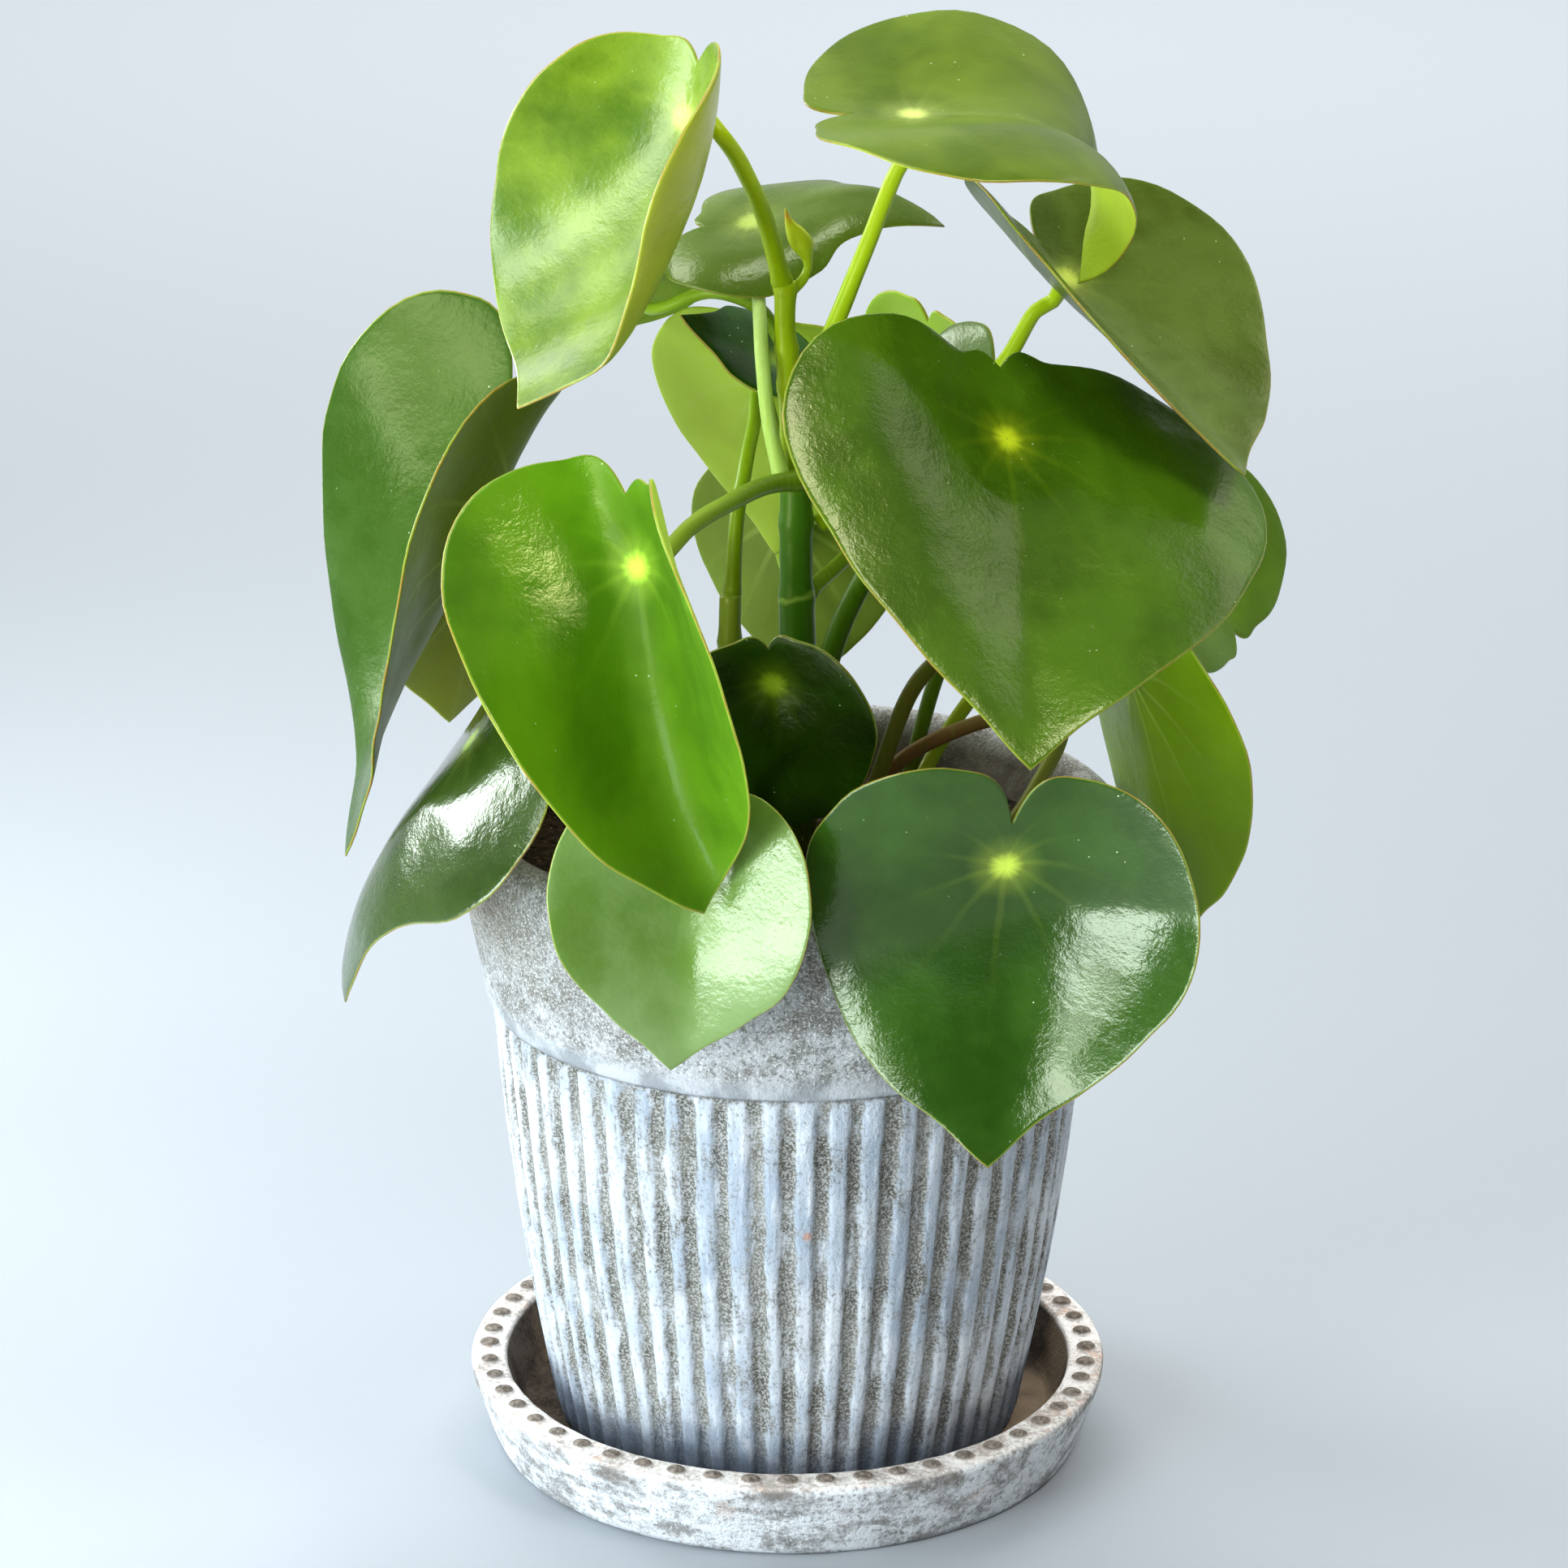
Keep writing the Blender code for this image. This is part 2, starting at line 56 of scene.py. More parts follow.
LEAF_KEYS = (
    "x y z heading droop roll tip wr wl lr ll sinus gamma shoulder "
    "foldr foldl rollr rolll grow axis bow tipcurl basecurl twist dimple"
).split()
LEAVES = {
    "leaf_top_left": (-24, -33, 336.5, 124, 86, -23, 77, 0.46, 0.48, 0.26, 0.34, 0.18, 54, 0.97, 16, 34, 43, 84, -0.37, -14, 34, 53, 8, -44, 3.3),
    "leaf_top_right": (26.5, -25, 335.5, -78, -1, 10, 68, 0.69, 0.60, 0.37, 0.40, 0.20, 47, 1.03, 35, 7, -46, 3, 0.32, -9, -5, -141, -17, -15, 2.0),
    "leaf_upper_right": (62.5, -5, 293, -137, 33, 0, 70, 0.64, 0.65, 0.38, 0.40, 0.19, 51, 0.96, 49, 8, -10, 7, -0.43, -4, 4, 1, -11, 7, 2.1),
    "leaf_centre_large": (47.5, -55, 269, 188, 41, -21, 83, 0.71, 0.76, 0.28, 0.33, 0.23, 49, 0.97, 25, 12, -29, -18, -0.19, -2, -4, -7, -9, -17, 2.0),
    "leaf_mid_left": (-34, -74, 245, 209, 68, 55, 77.5, 0.62, 0.63, 0.38, 0.26, 0.21, 51, 0.98, 44, 55, 30, 10, -0.02, -3, 1, -27, -5, 29, 2.4),
    "leaf_left_folded": (-72, -5, 234.5, 89, 66, -21, 85, 0.59, 0.68, 0.59, 0.46, 0.25, 45, 0.99, 44, 64, -6, -38, -0.98, 15, 3, -2, -30, -6, 2.2),
    "leaf_left_back": (-72.5, 42, 209, 46, 71, 6, 49, 0.64, 0.65, 0.38, 0.38, 0.20, 48, 1.0, 2, 4, -11, -11, 0.0, -1, 3, -2, -10, -3, 2.0),
    "leaf_low_left": (-73, -45, 194, 102, 52, 7, 68, 0.65, 0.69, 0.38, 0.37, 0.20, 40, 1.05, -14, -9, 2, -25, 0.34, 5, 4, -42, -10, -1, 2.1),
    "leaf_front_left": (-22.5, -84, 180, 171, 81, -1, 49, 0.62, 0.64, 0.38, 0.40, 0.20, 50, 1.03, 18, 21, -1, 5, -0.04, -4, -3, -11, -12, 3, 2.0),
    "leaf_front_right": (47.5, -92, 182, 197, 105, 6, 74.5, 0.60, 0.66, 0.40, 0.39, 0.15, 50, 0.96, -7, 11, -23, 50, 0.21, -1, 11, 29, -16, -1, 2.2),
    "leaf_small_centre": (-4, -35, 205, 168, 107, 1, 43, 0.62, 0.63, 0.36, 0.37, 0.25, 50, 0.98, 23, 24, 22, -4, -0.38, 3, 1, -18, -2, -5, 2.0),
    "leaf_right_low": (80, -6, 198.5, -55, 75, 12, 71.5, 0.65, 0.63, 0.36, 0.38, 0.20, 48, 0.96, -2, 7, 10, 4, -0.03, -4, -4, -8, -12, 7, 1.8),
    "leaf_right_back": (101.5, 35, 206, 58, -65, 0, 50, 0.66, 0.65, 0.34, 0.37, 0.24, 47, 0.98, 4, 6, 4, -8, 0.03, 9, -2, -12, -12, 7, 1.8),
    "leaf_back_top": (-10, 27, 298, -87, -13, 21, 45.5, 0.59, 0.66, 0.49, 0.31, 0.24, 26, 0.97, 9, -16, -47, -21, 0.76, -9, -7, -33, -36, -9, 3.5),
    "leaf_back_pale": (-6, 47, 254.5, -20, 72, 3, 50, 0.64, 0.66, 0.39, 0.38, 0.20, 47, 1.01, 7, 8, -8, 0, 0.0, 3, -2, -13, -11, -3, 2.0),
    "leaf_young_dark": (-3.5, 22, 265.5, 101, -19, -23, 27, 0.68, 0.64, 0.39, 0.38, 0.20, 42, 1.04, 1, 8, -14, -5, -0.06, -3, 8, 7, -9, 5, 1.2),
    "leaf_back_left": (-37.5, 37, 281.5, 69, 29, 12, 42.5, 0.65, 0.64, 0.38, 0.38, 0.20, 48, 1.0, -4, 5, -30, -10, 0.03, 1, 1, -9, -10, -1, 2.0),
    "leaf_back_right": (34, 52, 260.5, -36, 68, 15, 38.5, 0.64, 0.64, 0.37, 0.39, 0.21, 48, 1.0, -3, 0, -19, -18, -0.02, 1, 1, -10, -9, 3, 2.0),
    "leaf_back_centre": (-0.5, 74, 211, -20, 82, 6, 46.5, 0.63, 0.63, 0.38, 0.38, 0.20, 48, 1.0, 2, 7, -15, -4, 0.0, -1, -1, -11, -10, 2, 2.0),
    "leaf_back_upper": (46, 12, 257, 146, 73, 19, 50, 0.64, 0.65, 0.44, 0.34, 0.18, 48, 1.0, 1, 6, -12, -9, 0.0, -3, -1, -10, -15, 4, 2.1),
}
STALKS = {
    "leaf_top_left": (2.2, 1.7, [(-3, -1, 292.5), (-7, -12, 310), (-13, -24, 326), (-17, -30, 333)]),
    "leaf_top_right": (2.2, 1.7, [(3, -7, 266), (9, -10, 282), (17, -15, 304), (23, -22, 322)]),
    "leaf_upper_right": (2.1, 1.7, [(8, 3, 233), (27, 4, 248), (49, 0, 272), (56, -3, 285)]),
    "leaf_centre_large": (2.8, 2.0, [(5, -9, 182), (9, -10, 203), (16, -14, 222), (30, -28, 246)]),
    "leaf_mid_left": (2.3, 1.8, [(0, -7, 245), (-6, -17, 247), (-14, -34, 248), (-23, -54, 248)]),
    "leaf_left_folded": (2.2, 1.8, [(-18.8, 9, 185.4), (-30, 10, 194), (-45, 8, 206), (-60, 2, 224)]),
    "leaf_left_back": (2.0, 1.6, [(-3, 12, 152), (-14, 20, 176), (-34, 26, 197), (-52, 26, 205)]),
    "leaf_low_left": (2.0, 1.6, [(-12, -10, 152.6), (-30, -23, 182), (-52, -36, 196), (-63, -41, 192)]),
    "leaf_front_left": (1.9, 1.5, [(-10, -18, 152.6), (-12, -34, 176), (-16, -56, 187), (-20, -70, 184)]),
    "leaf_front_right": (2.1, 1.7, [(15, -6, 152.2), (21, -4, 172), (30, -6, 196), (46, -22, 213), (60, -45, 213), (61, -62, 203), (54, -76, 193)]),
    "leaf_small_centre": (1.8, 1.4, [(-5, -15, 152), (-5, -20, 176), (-6, -24, 195)]),
    "leaf_right_low": (2.0, 1.6, [(14, 3, 152.6), (25, 2, 172), (44, -2, 184), (64, -8, 190)]),
    "leaf_right_back": (1.9, 1.5, [(24, 3, 152.2), (36, 8, 176), (50, 22, 191), (65, 42, 200), (84, 46, 202)]),
    "leaf_back_top": (1.8, 1.5, [(-3, -7, 248), (-5.5, -6.6, 259), (-7, -4.5, 272), (-8, 7, 285)]),
    "leaf_back_pale": (1.9, 1.5, [(-14, 12, 213.2), (-13, 13, 230), (-11, 20, 241), (-9, 32, 249)]),
    "leaf_young_dark": (1.4, 1.1, [(-1.5, 6.5, 248), (-4, 15, 252)]),
    "leaf_back_left": (1.8, 1.4, [(-2, 6, 274), (-9, 20, 280), (-20, 28, 281), (-30, 30, 277)]),
    "leaf_back_right": (1.9, 1.5, [(5, 6, 215), (21, 26, 226), (27, 40, 241)]),
    "leaf_back_centre": (2.0, 1.6, [(4, 16, 152.4), (3, 36, 175), (1, 60, 194)]),
    "leaf_back_upper": (2.0, 1.6, [(26, 15, 152.2), (34, 20, 185), (47, 23, 222), (54, 20, 244)]),
}
MAIN_STEM = [(2.2, 0, 152, 4.2), (2.0, 0, 181, 4.1), (1.5, 0, 204, 4.1), (1.0, 0, 222, 4.1), (0.8, 0, 242, 3.9),
             (0, 0, 257, 3.3), (-1.2, 0, 271, 2.8), (-1.9, 0, 281, 2.7), (-1.8, 0, 290, 2.8)]
SIDE_STEM = [(-12.5, 8, 152, 2.9), (-14, 9, 178, 2.9), (-14.6, 10, 198, 2.9), (-14.5, 11, 211, 2.8)]
BUD = [(-0.4, 0, 288.5, 1.2), (2.3, 0.4, 291.5, 1.15), (3.3, 0.3, 294, 1.0), (3.2, 0, 296.3, 1.2), (2.2, 0, 299.4, 2.5),
       (0.6, 0, 302, 2.3), (-0.9, 0, 304.6, 1.2), (-1.6, 0, 306.6, 0.5), (-2.0, 0, 308.2, 0.15)]

# ================================================================ colours
# Per leaf: upper side deep and light, underside, spot, roughness, and the weight of its wax. On leaf_back_pale,
# leaf_back_left and leaf_back_right the bright lime is partly the blade's own colour and partly painted light shining
# through the blade.
PALETTE = {
    "leaf_top_left": ("#4c6c04", "#789420", "#a4b024", "#d8e670", 0.28, 0.8),
    "leaf_top_right": ("#465e0c", "#5c7418", "#c8e040", "#c8d870", 0.33, 0.2),
    "leaf_upper_right": ("#3c5004", "#50661e", "#2c4200", "#c0d050", 0.28, 0.2),
    "leaf_centre_large": ("#325204", "#42660c", "#6f8f1c", "#c4d824", 0.26, 0.26),
    "leaf_mid_left": ("#3c6804", "#4e7c08", "#9cc03c", "#d0ff50", 0.20, 0.12),
    "leaf_left_folded": ("#2c4a0e", "#38561c", "#647400", "#a8c838", 0.27, 0.05),
    "leaf_left_back": ("#4a6c04", "#5c7808", "#6a7800", "#a8c838", 0.34, 0.2),
    "leaf_low_left": ("#22380a", "#314616", "#6c8c20", "#b8d850", 0.21, 0.9),
    "leaf_front_left": ("#56742c", "#708a50", "#7c9a20", "#c0d860", 0.22, 0.7),
    "leaf_front_right": ("#1f4006", "#2e5012", "#6c8c14", "#d0e850", 0.20, 0.75),
    "leaf_small_centre": ("#142c00", "#203e04", "#4c6c0c", "#86a018", 0.24, 0.28),
    "leaf_right_low": ("#4c7000", "#5a7c02", "#7aa00a", "#a8c838", 0.34, 0.2),
    "leaf_right_back": ("#486c00", "#567c04", "#5e8200", "#a8c838", 0.36, 0.2),
    "leaf_back_top": ("#4c6418", "#5c742a", "#5c7c10", "#b8cc60", 0.26, 0.4),
    "leaf_back_pale": ("#769c14", "#a0c030", "#b0cc3c", "#b8d850", 0.42, 0.15),
    "leaf_young_dark": ("#123400", "#245408", "#4c7a10", "#7c9a14", 0.32, 0.08),
    "leaf_back_left": ("#6c9410", "#8cb020", "#94b424", "#b8d850", 0.42, 0.15),
    "leaf_back_right": ("#5c8a0c", "#7ca61c", "#9cbe2a", "#b8d850", 0.38, 0.15),
    "leaf_back_centre": ("#54700c", "#6c8414", "#68801c", "#a8c838", 0.42, 0.15),
    "leaf_back_upper": ("#4c642c", "#68804c", "#7c9a20", "#a8c838", 0.36, 0.2),
}


# Blades whose wax shines differently: (specular level, roughness of the wax coat)
SHEEN = {
    "leaf_top_left": (0.24, 0.30),
    "leaf_centre_large": (0.28, 0.14),
    "leaf_left_folded": (0.20, 0.14),
    "leaf_low_left": (0.24, 0.14),
    "leaf_front_left": (0.20, 0.14),
    "leaf_front_right": (0.24, 0.14),
    "leaf_back_top": (0.30, 0.16),
    "leaf_young_dark": (0.15, 0.20),
}


def rgb(code, alpha=1.0):
    """#rrggbb as linear light."""
    v = [int(code[i : i + 2], 16) / 255 for i in (1, 3, 5)]
    return tuple(c / 12.92 if c <= 0.04045 else ((c + 0.055) / 1.055) ** 2.4 for c in v) + (alpha,)


# ================================================================ node helpers
class Tree:
    """Short calls for a material's nodes."""

    def __init__(self, name):
        self.mat = bpy.data.materials.new(name)
        self.mat.use_nodes = True
        self.nt = self.mat.node_tree
        self.bsdf = self.nt.nodes["Principled BSDF"]

    def put(self, socket, value):
        if isinstance(value, bpy.types.NodeSocket):
            self.nt.links.new(value, socket)
        else:
            socket.default_value = value

    def math(self, op, a, b=0.0, c=0.0, clamp=False):
        n = self.nt.nodes.new("ShaderNodeMath")
        n.operation = op
        n.use_clamp = clamp
        for s, v in zip(n.inputs, (a, b, c)):
            self.put(s, v)
        return n.outputs[0]

    def ramp(self, x, lo, hi, a=0.0, b=1.0, smooth=True):
        n = self.nt.nodes.new("ShaderNodeMapRange")
        n.interpolation_type = "SMOOTHSTEP" if smooth else "LINEAR"
        n.clamp = True
        for s, v in zip(list(n.inputs)[:5], (x, lo, hi, a, b)):
            self.put(s, v)
        return n.outputs[0]

    def mix(self, f, a, b, blend="MIX"):
        n = self.nt.nodes.new("ShaderNodeMix")
        n.data_type = "RGBA"
        n.blend_type = blend
        n.clamp_factor = True
        self.put(n.inputs[0], f)
        self.put(n.inputs[6], a)
        self.put(n.inputs[7], b)
        return n.outputs[2]

    def attr(self, name):
        n = self.nt.nodes.new("ShaderNodeAttribute")
        n.attribute_type = "GEOMETRY"
        n.attribute_name = name
        return n

    def coords(self):
        return self.nt.nodes.new("ShaderNodeTexCoord").outputs["Object"]

    def scaled(self, v, s):
        n = self.nt.nodes.new("ShaderNodeVectorMath")
        n.operation = "MULTIPLY"
        self.put(n.inputs[0], v)
        n.inputs[1].default_value = s if isinstance(s, (tuple, list)) else (s, s, s)
        return n.outputs[0]

    def shifted(self, v, s):
        n = self.nt.nodes.new("ShaderNodeVectorMath")
        n.operation = "ADD"
        self.put(n.inputs[0], v)
        n.inputs[1].default_value = s
        return n.outputs[0]

    def split(self, v):
        n = self.nt.nodes.new("ShaderNodeSeparateXYZ")
        self.put(n.inputs[0], v)
        return n.outputs

    def join(self, x, y, z):
        n = self.nt.nodes.new("ShaderNodeCombineXYZ")
        for s, v in zip(n.inputs, (x, y, z)):
            self.put(s, v)
        return n.outputs[0]

    def noise(self, v, scale, detail=3.0, rough=0.55, distort=0.0):
        n = self.nt.nodes.new("ShaderNodeTexNoise")
        self.put(n.inputs["Vector"], v)
        n.inputs["Scale"].default_value = scale
        n.inputs["Detail"].default_value = detail
        n.inputs["Roughness"].default_value = rough
        n.inputs["Distortion"].default_value = distort
        return n.outputs[0]

    def cells(self, v, scale, feature="F1", out="Distance", jitter=1.0):
        n = self.nt.nodes.new("ShaderNodeTexVoronoi")
        n.feature = feature
        self.put(n.inputs["Vector"], v)
        n.inputs["Scale"].default_value = scale
        n.inputs["Randomness"].default_value = jitter
        return n.outputs[out]

    def bump(self, height, distance, strength=1.0, normal=None):
        n = self.nt.nodes.new("ShaderNodeBump")
        n.inputs["Strength"].default_value = strength
        n.inputs["Distance"].default_value = distance
        self.put(n.inputs["Height"], height)
        if normal is not None:
            self.put(n.inputs["Normal"], normal)
        return n.outputs[0]

    def set(self, **kw):
        names = {"colour": "Base Color", "rough": "Roughness", "normal": "Normal", "spec": "Specular IOR Level", "coat": "Coat Weight",
                 "coat_rough": "Coat Roughness", "sheen": "Sheen Weight", "sheen_rough": "Sheen Roughness", "sss": "Subsurface Weight",
                 "sss_scale": "Subsurface Scale", "sss_radius": "Subsurface Radius"}
        for k, v in kw.items():
            self.put(self.bsdf.inputs[names[k]], v)
        return self.mat


# ================================================================ mesh helpers
def make_object(name, verts, faces, material, node, attrs=(), smooth=True):
    me = bpy.data.meshes.new(name)
    me.from_pydata([tuple(v) for v in (np.asarray(verts, float) * MM)], [], [tuple(int(i) for i in f) for f in faces])
    me.update()
    for key, kind, values in attrs:
        a = me.attributes.new(key, kind, "POINT")
        a.data.foreach_set("vector" if kind == "FLOAT_VECTOR" else "value", np.asarray(values, np.float32).ravel())
    if smooth:
        me.shade_smooth()
    me.materials.append(material)
    ob = bpy.data.objects.new(name, me)
    bpy.context.scene.collection.objects.link(ob)
    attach(ob, "root")
    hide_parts(node)
    return ob


def smooth_through(xk, yk, x):
    xk, yk = np.asarray(xk, float), np.asarray(yk, float)
    h = np.diff(xk)
    s = np.diff(yk) / h
    m = np.empty(len(xk))
    m[0], m[-1] = s[0], s[-1]
    m[1:-1] = (s[:-1] * h[1:] + s[1:] * h[:-1]) / (h[:-1] + h[1:])
    i = np.clip(np.searchsorted(xk, x) - 1, 0, len(h) - 1)
    t = (x - xk[i]) / h[i]
    t2, t3 = t * t, t * t * t
    return (2 * t3 - 3 * t2 + 1) * yk[i] + (t3 - 2 * t2 + t) * h[i] * m[i] + (-2 * t3 + 3 * t2) * yk[i + 1] + (t3 - t2) * h[i] * m[i + 1]


def path_through(pts, step):
    pts = np.asarray(pts, float)
    lengths = np.linalg.norm(np.diff(pts[:, :3], axis=0), axis=1)
    t = np.concatenate([[0], np.cumsum(np.sqrt(lengths))])
    knots = [t[0]]
    for i, ln in enumerate(lengths):
        n = max(1, int(round(ln / step)))
        knots += list(t[i] + (t[i + 1] - t[i]) * np.arange(1, n + 1) / n)
    knots = np.array(knots)
    return np.stack([smooth_through(t, pts[:, a], knots) for a in range(pts.shape[1])], -1), knots / t[-1]


def tube(path, radii, sides=16, wobble=0.0, seed=0.0):
    """Closed round tube along path with rounded ends. Gives vertices, faces and along (0 foot, 1 top)."""
    path = np.asarray(path, float)
    radii = np.asarray(radii, float)
    d0, d1 = path[0] - path[1], path[-1] - path[-2]
    d0, d1 = d0 / np.linalg.norm(d0), d1 / np.linalg.norm(d1)
    r0, r1 = radii[0], radii[-1]
    path = np.vstack([path[0] + d0 * r0 * 0.35, path[0] + d0 * r0 * 0.25, path, path[-1] + d1 * r1 * 0.25, path[-1] + d1 * r1 * 0.35])
    radii = np.concatenate([[r0 * 0.55, r0 * 0.88], radii, [r1 * 0.88, r1 * 0.55]])
    tang = np.gradient(path, axis=0)
    tang /= np.linalg.norm(tang, axis=1, keepdims=True)
    side = np.cross(tang[0], [0.3, 1.0, 0.2])
    side /= np.linalg.norm(side)
    verts, faces, along = [], [], []
    length = np.concatenate([[0], np.cumsum(np.linalg.norm(np.diff(path, axis=0), axis=1))])
    for i, (c, t, r) in enumerate(zip(path, tang, radii)):
        side = side - t * np.dot(side, t)
        side /= np.linalg.norm(side)
        other = np.cross(t, side)
        for k in range(sides):
            a = 2 * math.pi * k / sides
            rr = r
            if wobble:
                rr = r * (1 + wobble * noise.noise(Vector((math.cos(a) * 1.3 + seed, math.sin(a) * 1.3, length[i] / 9))))
            verts.append(c + rr * (math.cos(a) * side + math.sin(a) * other))
            along.append(length[i] / length[-1])
    n = len(path)
    for i in range(n - 1):
        for k in range(sides):
            k1 = (k + 1) % sides
            a, b = i * sides + k, i * sides + k1
            faces.append((a, b, b + sides, a + sides))
    c0, c1 = len(verts), len(verts) + 1
    verts += [path[0] + d0 * r0 * 0.06, path[-1] + d1 * r1 * 0.06]
    along += [0, 1]
    for k in range(sides):
        k1 = (k + 1) % sides
        faces.append((c0, k1, k))
        faces.append((c1, (n - 1) * sides + k, (n - 1) * sides + k1))
    return np.array(verts), faces, np.array(along)


# ================================================================ leaf shape
GX, GW = np.polynomial.legendre.leggauss(8)
GX, GW = (GX + 1) / 2, GW / 2


def margin(p, phi):
    phi = (phi + np.pi) % (2 * np.pi) - np.pi
    a = np.abs(phi) / DEG
    out = np.empty_like(a)

    def edge(q):
        return math.sin(p["gamma"] * DEG) / math.sin((p["gamma"] + q) * DEG)

    for right, wide, lobe in ((True, p["wr"], p["lr"]), (False, p["wl"], p["ll"])):
        m = (phi >= 0) if right else (phi < 0)
        r50 = p["shoulder"] * math.sqrt(edge(22) * wide)
        angles = [0, 8, 22, 50, 88, 122, 150, 170, 180]
        radii = [1, edge(8) * 0.99, edge(22), r50, wide, math.sqrt(wide * lobe) * 1.04, lobe, lobe * 0.55 + p["sinus"] * 0.5, p["sinus"]]
        out[m] = p["tip"] * smooth_through(angles, radii, a[m])
    return out


def attitude(p):
    h, d, r = p["heading"] * DEG, -p["droop"] * DEG, p["roll"] * DEG
    rz = np.array([[math.cos(h), -math.sin(h), 0], [math.sin(h), math.cos(h), 0], [0, 0, 1]])
    rx = np.array([[1, 0, 0], [0, math.cos(d), -math.sin(d)], [0, math.sin(d), math.cos(d)]])
    ry = np.array([[math.cos(r), 0, math.sin(r)], [0, 1, 0], [-math.sin(r), 0, math.cos(r)]])
    return rz @ rx @ ry


def blade_surface(p, rho, phi):
    """Middle surface of the blade, mm, with the shallow furrows over its veins and a faint unevenness."""
    r = margin(p, phi)
    if "wave" in p:
        r = r * (1 + p["wave"] * rho ** 6 * (np.sin(7 * phi + p["seed"]) + 0.7 * np.sin(12 * phi + 2.1 * p["seed"]) + 0.5 * np.sin(19 * phi + p["seed"] * 3.3)))
    u, v = rho * r * np.sin(phi), rho * r * np.cos(phi)
    length, half = p["tip"], p["tip"] * 0.62
    c, s = math.cos(p["axis"] * DEG), math.sin(p["axis"] * DEG)
    across, along = u * c - v * s, u * s + v * c
    w, q = np.abs(across) / half, along / length
    right = across >= 0
    fold = np.where(right, p["foldr"], p["foldl"]) * DEG
    roll = np.where(right, p["rollr"], p["rolll"]) * DEG
    grow = 1 + p["grow"] * q
    crease = 0.12 + 0.22 * np.clip(0.5 - q, 0, 1)
    wt = w[..., None] * GX
    slope = grow[..., None] * (fold[..., None] * np.tanh(wt / crease[..., None]) + roll[..., None] * wt)
    x = np.sign(across) * w * half * (np.cos(slope) * GW).sum(-1)
    z = w * half * (np.sin(slope) * GW).sum(-1)

    def pitch(t):
        return DEG * (p["bow"] * t + np.where(t > 0, p["tipcurl"] * t * t, -p["basecurl"] * 4 * t * t))

    run = pitch(q[..., None] * GX)
    y0 = along * (np.cos(run) * GW).sum(-1)
    z0 = along * (np.sin(run) * GW).sum(-1)
    end = pitch(q)
    tw = p["twist"] * DEG * q
    x, z = x * np.cos(tw) - z * np.sin(tw), x * np.sin(tw) + z * np.cos(tw)
    near = rho * r / (0.30 * length)
    z = z + p["dimple"] * (1 - np.exp(-near * near))
    if "wave" in p:
        scale = length / 70
        furrow = vein_furrow(phi, rho) * np.exp(-((rho - 0.38) / 0.33) ** 2)
        z = z - p.get("furrow", 0.06) * scale * furrow * (rho > 0)
        sd = p["seed"]
        z = z + scale * rho * (0.30 * np.sin(u / 8.5 + sd) * np.sin(v / 11.0 + 2 * sd) + 0.16 * np.sin(u / 4.1 + 3 * sd + v / 9.0) + 0.10 * np.sin(v / 3.3 + sd * 5 + u / 6.0))
    pts = np.stack([x, y0 - z * np.sin(end), z0 + z * np.cos(end)], -1)
    return pts @ attitude(p).T + np.array([p["x"], p["y"], p["z"]])


VEIN_STEP = 36.0


def vein_furrow(phi, rho):
    """1 on a vein, falling to 0 between veins. The veins leave the stalk point evenly and bend to the tip."""
    bent = phi * (1 + 0.30 * rho) / DEG
    off = np.abs((bent + VEIN_STEP / 2) % VEIN_STEP - VEIN_STEP / 2)
    return np.exp(-((off / 8.0) ** 2))


def leaf_params(name):
    p = dict(zip(LEAF_KEYS, LEAVES[name]))
    order = list(LEAVES).index(name)
    p["seed"] = 1.7 * order + 0.6
    p["wave"] = 0.0035
    return p


